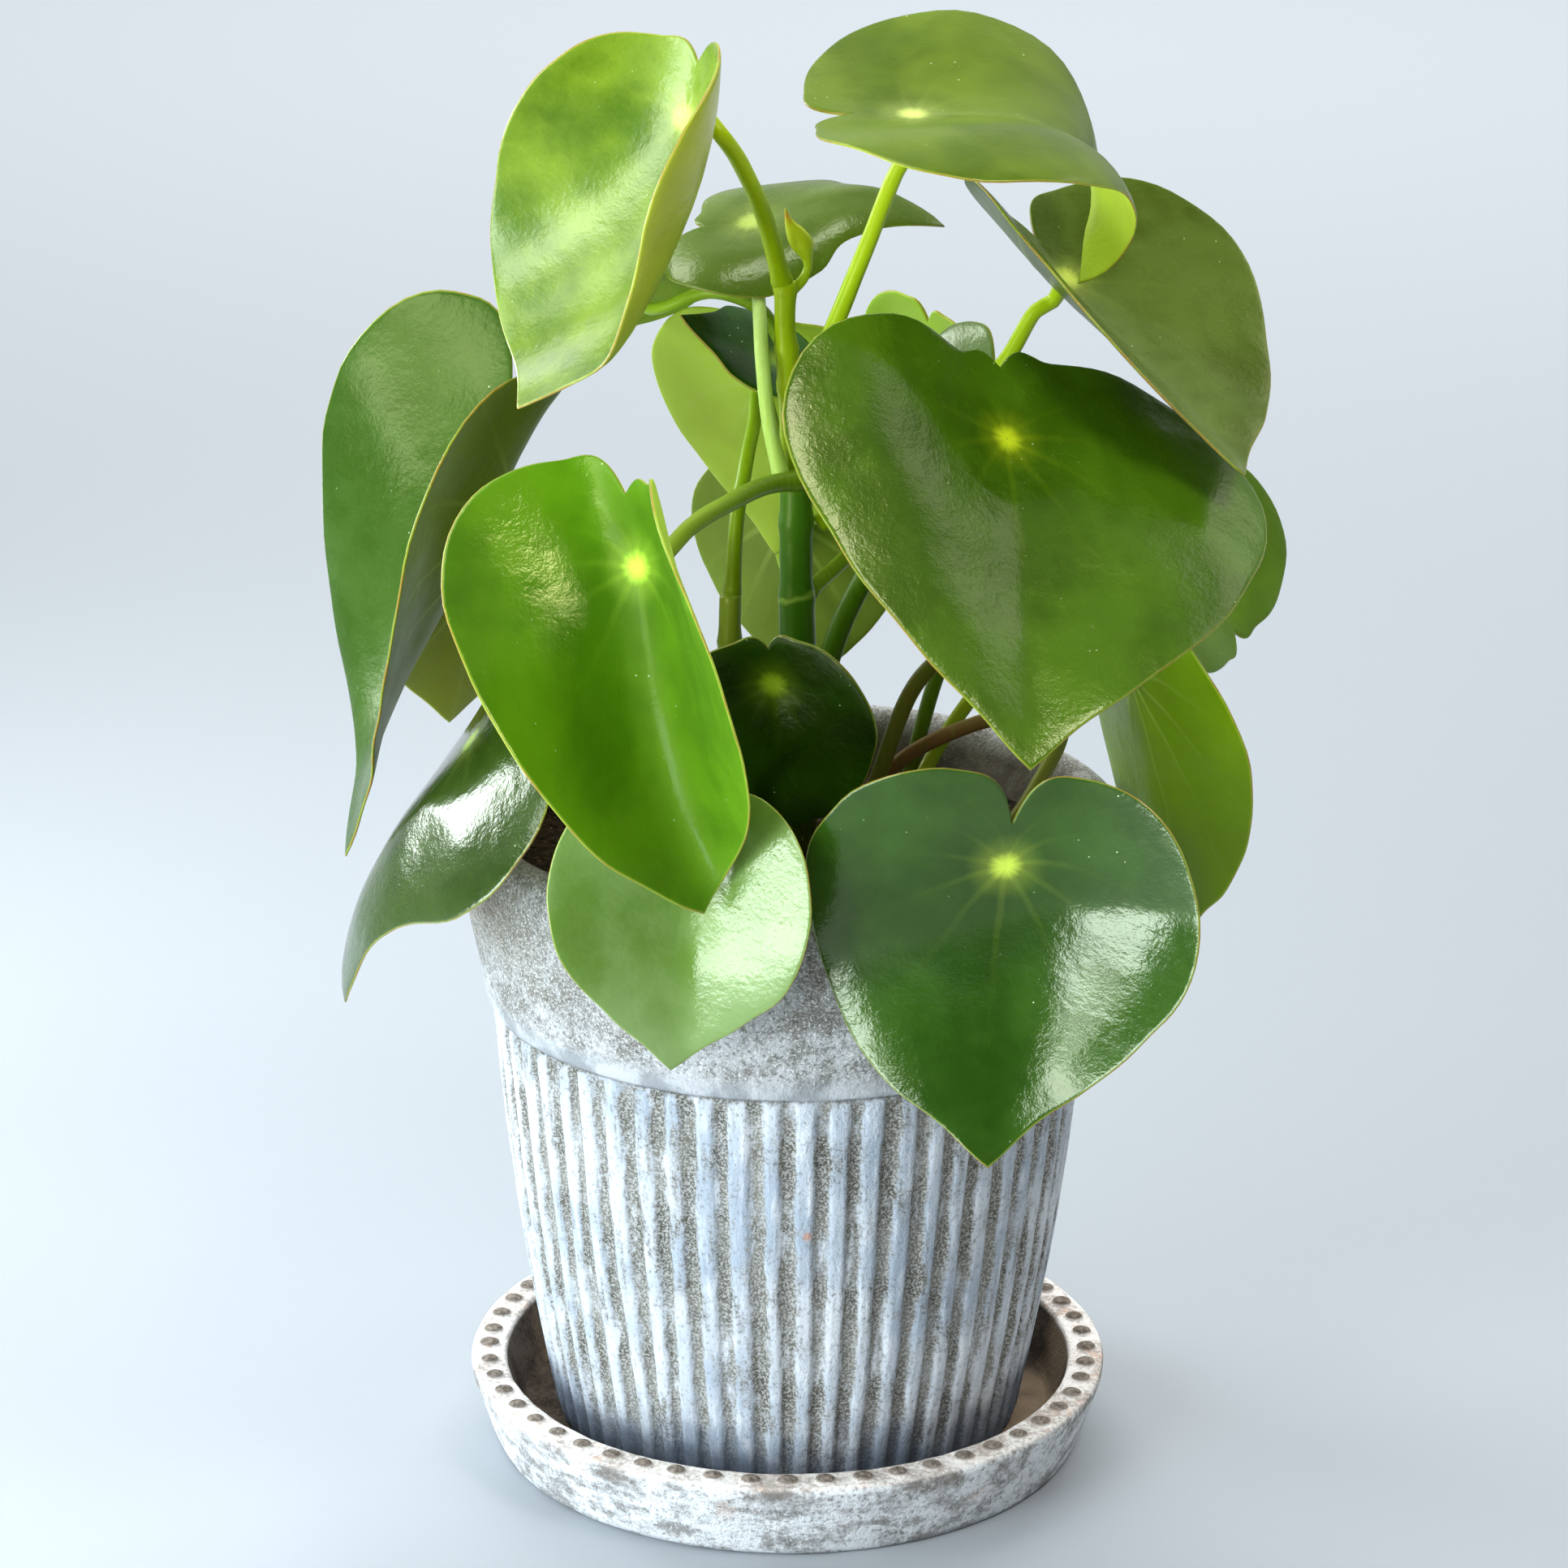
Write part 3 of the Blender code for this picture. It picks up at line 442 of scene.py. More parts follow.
def blade_mesh(p, spokes=104):
    k = np.arange(spokes) / spokes * 2 * np.pi - np.pi
    phi = k - 0.2 * np.sin(2 * k)
    rho = np.concatenate([[0.02, 0.05, 0.09, 0.14, 0.20, 0.27], np.linspace(0.34, 0.94, 12), [0.965, 0.982, 0.993, 0.9985]])
    half = 0.55 * np.ones(len(rho))
    half[rho > 0.9] = 0.55 * np.sqrt(np.maximum(1 - ((rho[rho > 0.9] - 0.9) / 0.1) ** 2 * 0.75, 0.05))
    half[-1] = 0.17
    rr, pp = np.meshgrid(rho, phi, indexing="ij")
    mid = blade_surface(p, rr, pp)
    e = 2e-3
    dr = blade_surface(p, np.minimum(rr + e, 1), pp) - blade_surface(p, np.maximum(rr - e, 0.004), pp)
    dp = blade_surface(p, rr, pp + e) - blade_surface(p, rr, pp - e)
    nor = np.cross(dp, dr)
    nor /= np.maximum(np.linalg.norm(nor, axis=-1, keepdims=True), 1e-9)
    up = attitude(p)[:, 2]
    if float((nor[0] @ up).mean()) < 0:
        nor = -nor
    centre = blade_surface(p, np.array([0.0]), np.array([0.0]))[0]
    edge = blade_surface(p, np.ones_like(phi), phi)
    r = margin(p, pp)
    flat = np.stack([rr * r * np.sin(pp), rr * r * np.cos(pp), rr], -1).reshape(-1, 3)
    redge = margin(p, phi)
    flat_edge = np.stack([redge * np.sin(phi), redge * np.cos(phi), np.ones_like(phi)], -1)
    top = (mid + nor * half[:, None, None]).reshape(-1, 3)
    low = (mid - nor * half[:, None, None]).reshape(-1, 3)
    nr, ns = rr.shape
    verts = np.vstack([centre + up * 0.55, top, centre - up * 0.55, low, edge])
    off = 1 + nr * ns
    rim = 2 * off
    flats = np.vstack([[0, 0, 0], flat, [0, 0, 0], flat, flat_edge])
    sides = np.concatenate([np.ones(off), np.zeros(off), 0.5 * np.ones(ns)])
    faces = []
    for j in range(ns):
        j1 = (j + 1) % ns
        faces.append((0, 1 + j1, 1 + j))
        faces.append((off, off + 1 + j, off + 1 + j1))
        for i in range(nr - 1):
            a, b = 1 + i * ns + j, 1 + i * ns + j1
            faces.append((a, b, b + ns, a + ns))
            faces.append((off + a, off + a + ns, off + b + ns, off + b))
        a, b = 1 + (nr - 1) * ns + j, 1 + (nr - 1) * ns + j1
        faces.append((a, b, rim + j1, rim + j))
        faces.append((off + a, rim + j, rim + j1, off + b))
    # Outward faces: the first upper triangle has to face the upper side.
    f = faces[0]
    n = np.cross(verts[f[1]] - verts[f[0]], verts[f[2]] - verts[f[0]])
    if np.dot(n, up) < 0:
        faces = [tuple(reversed(q)) for q in faces]
    return verts, faces, flats, sides


def leaf_material(name, deep, light, under, spot, rough, coat):
    """Waxy blade: veins from the pale spot, lighter mottling, yellow and red margin, tiny pale specks, paler plain underside."""
    t = Tree(name)
    flat = t.attr("leaf_flat").outputs["Vector"]
    side = t.ramp(t.attr("leaf_side").outputs["Fac"], 0.35, 0.65, smooth=False)
    u, v, rho = t.split(flat)
    order = float(list(LEAVES).index(name.replace("_skin", "")))
    seed = (order * 17.3, order * 9.1, order * 5.7)
    plane = t.shifted(t.join(u, v, 0.0), seed)
    dist = t.math("SQRT", t.math("ADD", t.math("MULTIPLY", u, u), t.math("MULTIPLY", v, v)))
    phi = t.math("ARCTAN2", u, v)
    bent = t.math("MULTIPLY", phi, t.math("MULTIPLY_ADD", rho, 0.30, 1.0))
    warp = t.math("MULTIPLY", t.math("SUBTRACT", t.noise(plane, 0.05, 2), 0.5), 0.22)
    bent = t.math("ADD", bent, warp)
    step = VEIN_STEP * DEG
    off = t.math("PINGPONG", t.math("ADD", bent, step * 20), step / 2)
    vein_mm = t.math("MULTIPLY", off, dist)
    vein = t.math("MULTIPLY", t.ramp(vein_mm, 0.25, 1.3, 1, 0), t.ramp(rho, 0.02, 0.8, 1.0, 0.12))
    # fine net between the main veins
    fine = t.math("PINGPONG", t.math("ADD", t.math("MULTIPLY", bent, 5.0), t.math("MULTIPLY", t.noise(plane, 0.12, 3), 1.6)), 0.5)
    fine = t.math("MULTIPLY", t.ramp(fine, 0.0, 0.16, 1, 0), t.ramp(rho, 0.15, 0.5))
    broad = t.noise(plane, 0.035, 3)
    mott = t.noise(plane, 0.16, 4)
    pebble = t.noise(plane, 0.85, 3, 0.6)
    # upper side
    f = t.math("ADD", t.ramp(broad, 0.35, 0.65), t.math("MULTIPLY", t.math("SUBTRACT", mott, 0.5), 0.8), clamp=True)
    top = t.mix(f, rgb(deep), rgb(light))
    top = t.mix(t.math("MULTIPLY", vein, t.ramp(rho, 0.05, 0.45, 0.05, 0.012)), top, rgb(spot))
    top = t.mix(t.math("MULTIPLY", fine, 0.07), top, rgb(light))
    halo_r = t.math("ADD", dist, t.math("MULTIPLY", t.math("SUBTRACT", t.noise(t.join(t.math("MULTIPLY", t.math("COSINE", phi), 3.0), t.math("MULTIPLY", t.math("SINE", phi), 3.0), order), 1.0, 3), 0.5), 2.4))
    top = t.mix(t.ramp(halo_r, 0.8, 4.6, 0.95, 0), top, rgb(spot))
    top = t.mix(t.ramp(halo_r, 2.5, 10.0, 0.16, 0), top, rgb(spot))
    speck_d = t.cells(plane, 0.30)
    speck_on = t.ramp(t.noise(plane, 0.07, 2), 0.50, 0.66)
    speck = t.math("MULTIPLY", t.ramp(speck_d, 0.035, 0.075, 1, 0), speck_on)
    top = t.mix(t.math("MULTIPLY", speck, 0.75), top, rgb("#dfe8c4"))
    # underside
    dark_under = tuple(c * 0.78 for c in rgb(under)[:3]) + (1,)
    low = t.mix(t.ramp(broad, 0.3, 0.7, 0.0, 0.7), rgb(under), dark_under)
    low = t.mix(t.math("MULTIPLY", vein, 0.35), low, rgb("#b4cc60"))
    colour = t.mix(side, low, top)
    # margin
    m = t.math("MULTIPLY", t.ramp(rho, 0.990, 0.998), 0.42)
    colour = t.mix(m, colour, rgb("#a9b545"))
    colour = t.mix(t.math("MULTIPLY", t.ramp(rho, 0.995, 0.9998), t.ramp(t.noise(plane, 0.10, 2), 0.40, 0.60, 0.1, 0.65)), colour, rgb("#9a5a32"))
    height = t.math("ADD", t.math("MULTIPLY", pebble, 0.80), t.math("MULTIPLY", mott, 2.6))
    height = t.math("SUBTRACT", height, t.math("MULTIPLY", vein, 0.12))
    height = t.math("ADD", height, t.math("MULTIPLY", t.noise(plane, 2.2, 2), 0.16))
    nor = t.bump(height, 0.00010, 1.0)
    if name.startswith("leaf_centre_large"):
        # the bump tilts the shading normals as though the lobes sloped down into a hollow around the stalk point
        q = t.math("MULTIPLY", u, 1 / 22)
        rim = t.math("MULTIPLY_ADD", t.math("EXPONENT", t.math("MULTIPLY", t.math("MULTIPLY", q, q), -1.0)), 28.0, -10.0)
        rim = t.math("ADD", rim, t.math("MULTIPLY", t.math("SUBTRACT", t.noise(plane, 0.10, 2), 0.5), 5.0))
        nor = t.bump(t.math("MULTIPLY", t.math("SMOOTH_MAX", t.math("SUBTRACT", rim, v), 0.0, 3.0), 0.00010), 1.0, 1.0, nor)
        # and tilts them as though the tip bent down
        nor = t.bump(t.math("MULTIPLY", t.math("SMOOTH_MAX", t.math("SUBTRACT", v, 40.0), 0.0, 8.0), -0.00013), 1.0, 1.0, nor)
    if name.startswith("leaf_front_right"):
        # the bump tilts the shading normals as though this blade dipped towards its tip
        q = t.math("ADD", t.math("MULTIPLY", u, -0.35), t.math("MULTIPLY", v, 0.94))
        nor = t.bump(t.math("MULTIPLY", t.math("SMOOTH_MAX", t.math("SUBTRACT", q, 13.0), 0.0, 5.0), -0.00023), 1.0, 1.0, nor)
    if name.startswith("leaf_mid_left"):
        # the bump tilts the shading normals as though this blade dipped along its length
        q = t.math("ADD", t.math("MULTIPLY", u, 0.00016), t.math("MULTIPLY", v, -0.00017))
        nor = t.bump(q, 1.0, 1.0, nor)
    if name.startswith("leaf_low_left"):
        # the bump tilts the shading normals as though the tip lay back from the rest of the blade
        nor = t.bump(t.math("MULTIPLY", t.math("SMOOTH_MAX", t.math("SUBTRACT", v, 17.0), 0.0, 3.0), 0.00016), 1.0, 1.0, nor)
    rf = t.math("MULTIPLY_ADD", t.math("SUBTRACT", mott, 0.5), 0.16, rough)
    rf = t.math("ADD", rf, t.math("MULTIPLY", t.math("SUBTRACT", 1.0, side), 0.14))
    if name.startswith("leaf_mid_left"):
        rf = t.math("ADD", rf, t.ramp(u, 9.0, 3.0, 0.0, 0.40))
    specular, coat_rough = SHEEN.get(name.replace("_skin", ""), (0.42, 0.14))
    t.set(colour=colour, rough=rf, normal=nor, spec=specular, coat=coat, coat_rough=coat_rough)
    t.put(t.bsdf.inputs["Coat Normal"], nor)
    t.bsdf.inputs["Specular Tint"].default_value = (1.0, 1.0, 0.30, 1.0)
    t.bsdf.inputs["Subsurface Weight"].default_value = 0.12
    t.bsdf.inputs["Subsurface Radius"].default_value = (0.9, 1.0, 0.25)
    t.bsdf.inputs["Subsurface Scale"].default_value = 0.0016
    return t.mat


def stalk_material(name, low, mid, high, brown_to=170.0, flecks=False, rings=()):
    """Stalk or stem: brown near the soil, then green, with fine lengthwise lines and small flecks."""
    t = Tree(name)
    co = t.coords()
    x, y, z = t.split(co)
    zmm = t.math("MULTIPLY", z, 1000.0)
    wob = t.math("MULTIPLY", t.math("SUBTRACT", t.noise(co, 60, 3), 0.5), 14.0)
    zz = t.math("ADD", zmm, wob)
    along = t.attr("along").outputs["Fac"]
    c = t.mix(t.ramp(along, 0.1, 0.9), rgb(mid), rgb(high))
    c = t.mix(t.ramp(zz, brown_to, brown_to + 26, 1, 0), c, rgb(low))
    lines = t.noise(t.scaled(co, (900, 900, 60)), 1.0, 3)
    c = t.mix(t.ramp(lines, 0.40, 0.70, 0, 0.30), c, rgb(high))
    c = t.mix(t.ramp(t.noise(co, 140, 3), 0.55, 0.75, 0, 0.35), c, rgb(mid))
    if flecks:
        fl = t.cells(t.scaled(co, (1, 1, 0.35)), 900)
        on = t.math("MULTIPLY", t.ramp(zz, 186, 196, 1, 0), t.ramp(t.noise(co, 200, 2), 0.42, 0.6))
        c = t.mix(t.math("MULTIPLY", t.ramp(fl, 0.18, 0.32, 1, 0), on), c, rgb("#8aa04a"))
    for rz, width, colour in rings:
        d = t.math("ABSOLUTE", t.math("SUBTRACT", zz, rz + 0.0))
        c = t.mix(t.ramp(d, 0.0, width, 0.7, 0), c, rgb(colour))
    nor = t.bump(t.math("ADD", lines, t.noise(co, 700, 2)), 0.00012, 0.5)
    t.set(colour=c, rough=0.42, normal=nor, spec=0.38, coat=0.06, coat_rough=0.25)
    t.bsdf.inputs["Specular Tint"].default_value = (1.0, 1.0, 0.30, 1.0)
    t.bsdf.inputs["Subsurface Weight"].default_value = 0.12
    t.bsdf.inputs["Subsurface Radius"].default_value = (0.9, 1.0, 0.25)
    t.bsdf.inputs["Subsurface Scale"].default_value = 0.0015
    return t.mat


# ================================================================ clay
def fbm(x, y, z, octaves=3):
    s, a, v = 1.0, 1.0, 0.0
    for _ in range(octaves):
        v += a * noise.noise(Vector((x * s, y * s, z * s)))
        s *= 2.1
        a *= 0.5
    return v


def pot_material():
    """Lime-washed clay: chalky blue-grey ridges, speckled grey-brown grooves, a mottled collar with painted shade
    towards negative x near its top, and a darker blue-grey foot that is partly wet clay and partly painted shade.
    """
    t = Tree("pot_clay")
    co = t.coords()
    x, y, z = t.split(co)
    zmm = t.math("MULTIPLY", z, 1000.0)
    rib = t.attr("rib").outputs["Fac"]
    zone = t.attr("zone").outputs["Fac"]  # 0 body, 1 collar, 2 lip and inside
    grain = t.noise(co, 900, 4, 0.65)
    specks = t.noise(co, 1700, 3, 0.7)
    broad = t.noise(co, 28, 4, 0.6)
    streak = t.noise(t.scaled(co, (1, 1, 0.16)), 330, 4, 0.6)
    patch = t.noise(co, 75, 4, 0.6, 0.4)
    dots = t.ramp(specks, 0.47, 0.57)
    pale = t.mix(t.ramp(broad, 0.35, 0.65), rgb("#9fabb8"), rgb("#c6cbd0"))
    pale = t.mix(t.ramp(streak, 0.52, 0.70, 0, 0.6), pale, rgb("#dcdfe1"))
    pale = t.mix(t.math("MULTIPLY", t.ramp(grain, 0.46, 0.34), 0.55), pale, rgb("#85868a"))
    dark = t.mix(t.ramp(patch, 0.35, 0.65), rgb("#55534a"), rgb("#7c7a72"))
    dark = t.mix(t.math("MULTIPLY", dots, 0.72), dark, rgb("#b9bab7"))
    wash = t.math("ADD", t.math("MULTIPLY", rib, 0.66), t.math("MULTIPLY", t.math("SUBTRACT", streak, 0.5), 2.3))
    wash = t.math("ADD", wash, t.math("MULTIPLY", t.math("SUBTRACT", grain, 0.5), 1.0))
    wash = t.math("ADD", wash, t.math("MULTIPLY", t.math("SUBTRACT", patch, 0.46), 0.9))
    body = t.mix(t.ramp(wash, 0.08, 0.74), dark, pale)
    # collar: mottled greys with dark pits and pale flecks; painted shade in a brown-grey darkens its upper part towards
    # negative x
    cm = t.math("ADD", t.math("MULTIPLY", patch, 0.45), t.math("MULTIPLY", t.noise(co, 260, 5, 0.75), 0.65))
    collar = t.mix(t.ramp(cm, 0.44, 0.66), rgb("#77756f"), rgb("#b4b7b8"))
    # painted shade: the collar grows darker towards negative x near its top
    collar_side_shade = t.math("MULTIPLY", t.ramp(t.math("MULTIPLY", x, 1000.0), -72, -44, 1, 0), t.ramp(zmm, 126, 150))
    collar = t.mix(t.math("MULTIPLY", collar_side_shade, t.ramp(patch, 0.35, 0.6, 0.70, 1.0)), collar, rgb("#7f7766"))
    brown = t.math("MULTIPLY", t.ramp(broad, 0.50, 0.66), t.ramp(zmm, 122, 134))
    collar = t.mix(t.math("MULTIPLY", brown, 0.40), collar, rgb("#746b5e"))
    collar = t.mix(t.math("MULTIPLY", t.ramp(specks, 0.52, 0.60), 0.7), collar, rgb("#dadbd9"))
    collar = t.mix(t.ramp(grain, 0.38, 0.47, 0.7, 0), collar, rgb("#57554f"))
    low = t.mix(t.ramp(zmm, 118, 124, 1, 0), collar, t.mix(t.ramp(patch, 0.4, 0.6), rgb("#8f9396"), rgb("#b9bcbf")))
    inside = t.mix(t.ramp(patch, 0.35, 0.65), rgb("#4a4238"), rgb("#6d6455"))
    c = t.mix(t.ramp(zone, 0.2, 0.8, smooth=False), body, low)
    c = t.mix(t.ramp(zone, 1.4, 1.9, smooth=False), c, inside)
    # darker blue-grey foot: partly wet clay, partly painted shade
    damp_and_shade = t.ramp(t.math("ADD", zmm, t.math("MULTIPLY", t.math("SUBTRACT", t.noise(co, 60, 3), 0.5), 26)), 12, 31, 0.85, 0)
    c = t.mix(damp_and_shade, c, rgb("#4c5868"))
    groove = t.math("MULTIPLY", t.ramp(t.math("ABSOLUTE", t.math("SUBTRACT", zmm, 115.9)), 0.2, 1.1, 1, 0), t.ramp(t.noise(co, 90, 3), 0.40, 0.56, 0.35, 1.0))
    c = t.mix(t.math("MULTIPLY", groove, 0.75), c, rgb("#4b4740"))
    chip = t.ramp(t.cells(co, 30), 0.055, 0.075, 1, 0)
    c = t.mix(t.math("MULTIPLY", chip, 0.8), c, rgb("#b98a72"))
    h = t.math("ADD", t.math("MULTIPLY", grain, 0.6), t.math("MULTIPLY", streak, 0.8))
    h = t.math("ADD", h, t.math("MULTIPLY", specks, 0.35))
    t.set(colour=c, rough=t.ramp(grain, 0.3, 0.7, 0.82, 0.96), normal=t.bump(h, 0.0009, 0.75), spec=0.3)
    return t.mat


def saucer_material():
    """Lime-washed terracotta: chalk rubbed off the beads and the edge, pink clay showing in places, brown inside, and
    patchy painted shade in a band just under the rim.
    """
    t = Tree("saucer_clay")
    co = t.coords()
    x, y, z = t.split(co)
    zmm = t.math("MULTIPLY", z, 1000.0)
    bead = t.attr("bead").outputs["Fac"]
    zone = t.attr("zone").outputs["Fac"]  # 0 outer wall, 1 rim, 2 inside
    grain = t.noise(co, 900, 4, 0.65)
    specks = t.noise(co, 1500, 3, 0.7)
    patch = t.noise(co, 70, 5, 0.62, 0.5)
    streak = t.noise(t.scaled(co, (1, 1, 2.6)), 120, 4, 0.65)
    broad = t.noise(co, 26, 3)
    wear = t.math("ADD", t.math("MULTIPLY", patch, 0.35), t.math("MULTIPLY", streak, 0.35))
    wear = t.math("ADD", wear, t.math("MULTIPLY", t.noise(co, 300, 5, 0.75), 0.32))
    wall = t.mix(t.ramp(wear, 0.43, 0.55), rgb("#8e8d8b"), rgb("#dcdfe1"))
    wall = t.mix(t.ramp(t.noise(co, 110, 4, 0.7), 0.58, 0.70, 0, 0.45), wall, rgb("#c9b4a6"))
    wall = t.mix(t.ramp(specks, 0.55, 0.63, 0, 0.6), wall, rgb("#eceeee"))
    wall = t.mix(t.ramp(grain, 0.36, 0.45, 0.6, 0), wall, rgb("#6a6763"))
    # painted shade: a patchy darker band at the top of the outer wall, just under the rim
    under_rim_shade = t.math("MULTIPLY", t.ramp(zmm, 13.0, 18.0), t.ramp(t.math("ADD", patch, t.math("MULTIPLY", grain, 0.3)), 0.50, 0.74, 1, 0))
    wall = t.mix(t.math("MULTIPLY", under_rim_shade, 0.75), wall, rgb("#716a62"))
    rim = t.mix(t.ramp(t.math("ADD", t.math("MULTIPLY", patch, 0.6), t.math("MULTIPLY", grain, 0.45)), 0.42, 0.60), rgb("#a79e97"), rgb("#e2e0dc"))
    rim = t.mix(t.ramp(t.noise(co, 150, 4, 0.7), 0.55, 0.68, 0, 0.6), rim, rgb("#c9a48e"))
    btop = t.mix(t.ramp(grain, 0.35, 0.65), rgb("#544c44"), rgb("#8b8177"))
    rim = t.mix(t.ramp(t.math("ADD", bead, t.math("MULTIPLY", t.math("SUBTRACT", grain, 0.5), 0.9)), 0.36, 0.78), rim, btop)
    inside = t.mix(t.ramp(t.math("ADD", t.math("MULTIPLY", patch, 0.7), t.math("MULTIPLY", grain, 0.4)), 0.42, 0.68), rgb("#3a322b"), rgb("#6a5f54"))
    inside = t.mix(t.ramp(broad, 0.55, 0.68, 0, 0.6), inside, rgb("#8c7a64"))
    c = t.mix(t.ramp(zone, 0.3, 0.7, smooth=False), wall, rim)
    c = t.mix(t.ramp(zone, 1.3, 1.7, smooth=False), c, inside)
    h = t.math("ADD", t.math("MULTIPLY", grain, 0.7), t.math("MULTIPLY", patch, 0.9))
    h = t.math("ADD", h, t.math("MULTIPLY", specks, 0.3))
    t.set(colour=c, rough=t.ramp(grain, 0.3, 0.7, 0.80, 0.96), normal=t.bump(h, 0.0010, 0.8), spec=0.3)
    return t.mat


def soil_material():
    t = Tree("soil_mix")
    co = t.coords()
    g = t.noise(co, 420, 5, 0.7)
    c = t.mix(t.ramp(g, 0.35, 0.65), rgb("#17110c"), rgb("#3a2c1f"))
    c = t.mix(t.ramp(t.cells(co, 260), 0.10, 0.22, 0.6, 0), c, rgb("#6b5338"))
    c = t.mix(t.ramp(t.noise(co, 900, 2), 0.66, 0.74, 0, 0.7), c, rgb("#8c8474"))
    h = t.math("ADD", g, t.math("MULTIPLY", t.cells(co, 500), 0.7))
    t.set(colour=c, rough=0.93, normal=t.bump(h, 0.0015, 0.9), spec=0.25)
    return t.mat


def ringed(rows, n, closed, point):
    """Rings of n points for rows, each point from point(row index, row, angle). Gives vertices, faces and each vertex's row and angle."""
    verts, faces, which = [], [], []
    starts = []
    for i, row in enumerate(rows):
        starts.append(len(verts))
        if row[0] == 0:
            verts.append((0, 0, row[1]))
            which.append((i, 0.0))
            continue
        for k in range(n):
            a = 2 * math.pi * k / n
            verts.append(point(i, row, a))
            which.append((i, a))
    pairs = [(i, i + 1) for i in range(len(rows) - 1)] + ([(len(rows) - 1, 0)] if closed else [])
    for i, j in pairs:
        a0, b0 = starts[i], starts[j]
        for k in range(n):
            k1 = (k + 1) % n
            if rows[i][0] == 0:
                faces.append((a0, b0 + k, b0 + k1))
            elif rows[j][0] == 0:
                faces.append((a0 + k, b0, a0 + k1))
            else:
                faces.append((a0 + k, b0 + k, b0 + k1, a0 + k1))
    return np.array(verts, float), faces, which


def body_radius(z):
    t = (z - POT_BASE_Z) / (RIB_TOP_Z - POT_BASE_Z)
    return POT_BASE_R + (RIB_TOP_R - POT_BASE_R) * t + BELLY * math.sin(math.pi * t)


def rib_height(a, z):
    """0 in a groove, 1 on a ridge; hand-tooled, so the ridges wander and differ in width."""
    wander = 0.16 * noise.noise(Vector((math.cos(a) * 5, math.sin(a) * 5, z / 55)))
    x = (a * RIBS / (2 * math.pi) + wander) % 1.0
    k = math.floor(a * RIBS / (2 * math.pi) + wander)
    wide = 0.27 + 0.07 * noise.noise(Vector((k * 3.7, z / 70, 4.2)))
    d = abs(x - 0.5)
    t = min(max((wide + 0.11 - d) / 0.22, 0), 1)
    return t * t * (3 - 2 * t)


def build_pot():
    rows = [(9.0, POT_BASE_Z, 2, 0), (54.5, POT_BASE_Z, 0, 0)]
    zs = np.concatenate([[7.2, 8.4, 10.0], np.linspace(13, 112, 25), [113.4, 114.4]])
    for z in zs:
        rows.append((body_radius(z), float(z), 0, 1.0 if 9 < z < 113.5 else 0.35))
    rows += [(70.6, 115.3, 0, 0), (70.7, 115.9, 0, 0), (72.4, 116.3, 1, 0), (73.0, 117.2, 1, 0)]
    collar = [(73.5, 119), (74.6, 125), (75.9, 131.5), (77.0, 137), (78.0, 142), (78.9, 147), (79.5, 151.5), (79.9, 155), (80.0, 157.6)]
    rows += [(r, z, 1, 0) for r, z in collar]
    lip = [(79.8, 159.5), (79.1, 161.2), (77.9, 162.3), (76.3, 162.9), (74.4, 162.9), (72.6, 162.2), (71.1, 160.9), (70.1, 159.0), (69.6, 156.8)]
    rows += [(r, z, 1.2 + 0.09 * i, 0) for i, (r, z) in enumerate(lip)]
    inner = [(69.3, 153), (69.0, 148), (62, 100), (55, 52), (50.5, 16.5), (49.0, 14.3), (9.0, 14.3)]
    rows += [(r, z, 2, 0) for r, z in inner]
    n = 12 * RIBS
    ribs = {}

    def point(i, row, a):
        r, z, zone, depth = row
        h = 0.0
        if depth:
            h = rib_height(a, z)
            ribs[(i, a)] = h
            r = r + depth * (1.15 * h - 0.60)
            r += 0.12 * fbm(math.cos(a) * 9, math.sin(a) * 9, z / 9)
        elif zone in (1,) or 1 < zone < 2:
            r = r + 0.22 * fbm(math.cos(a) * 3.2, math.sin(a) * 3.2, z / 22) - 0.1
            z = z + 0.25 * noise.noise(Vector((math.cos(a) * 2.2, math.sin(a) * 2.2, 7.7))) * (z > 150)
        return (r * math.cos(a), r * math.sin(a), z)

    verts, faces, which = ringed(rows, n, True, point)
    faces = [tuple(reversed(f)) for f in faces]
    rib = np.array([ribs.get(w, 0.35) for w in which])
    zone = np.array([rows[i][2] for i, _ in which], float)
    make_object("clay_pot", verts, faces, pot_material(), "pot", [("rib", "FLOAT", rib), ("zone", "FLOAT", zone)])


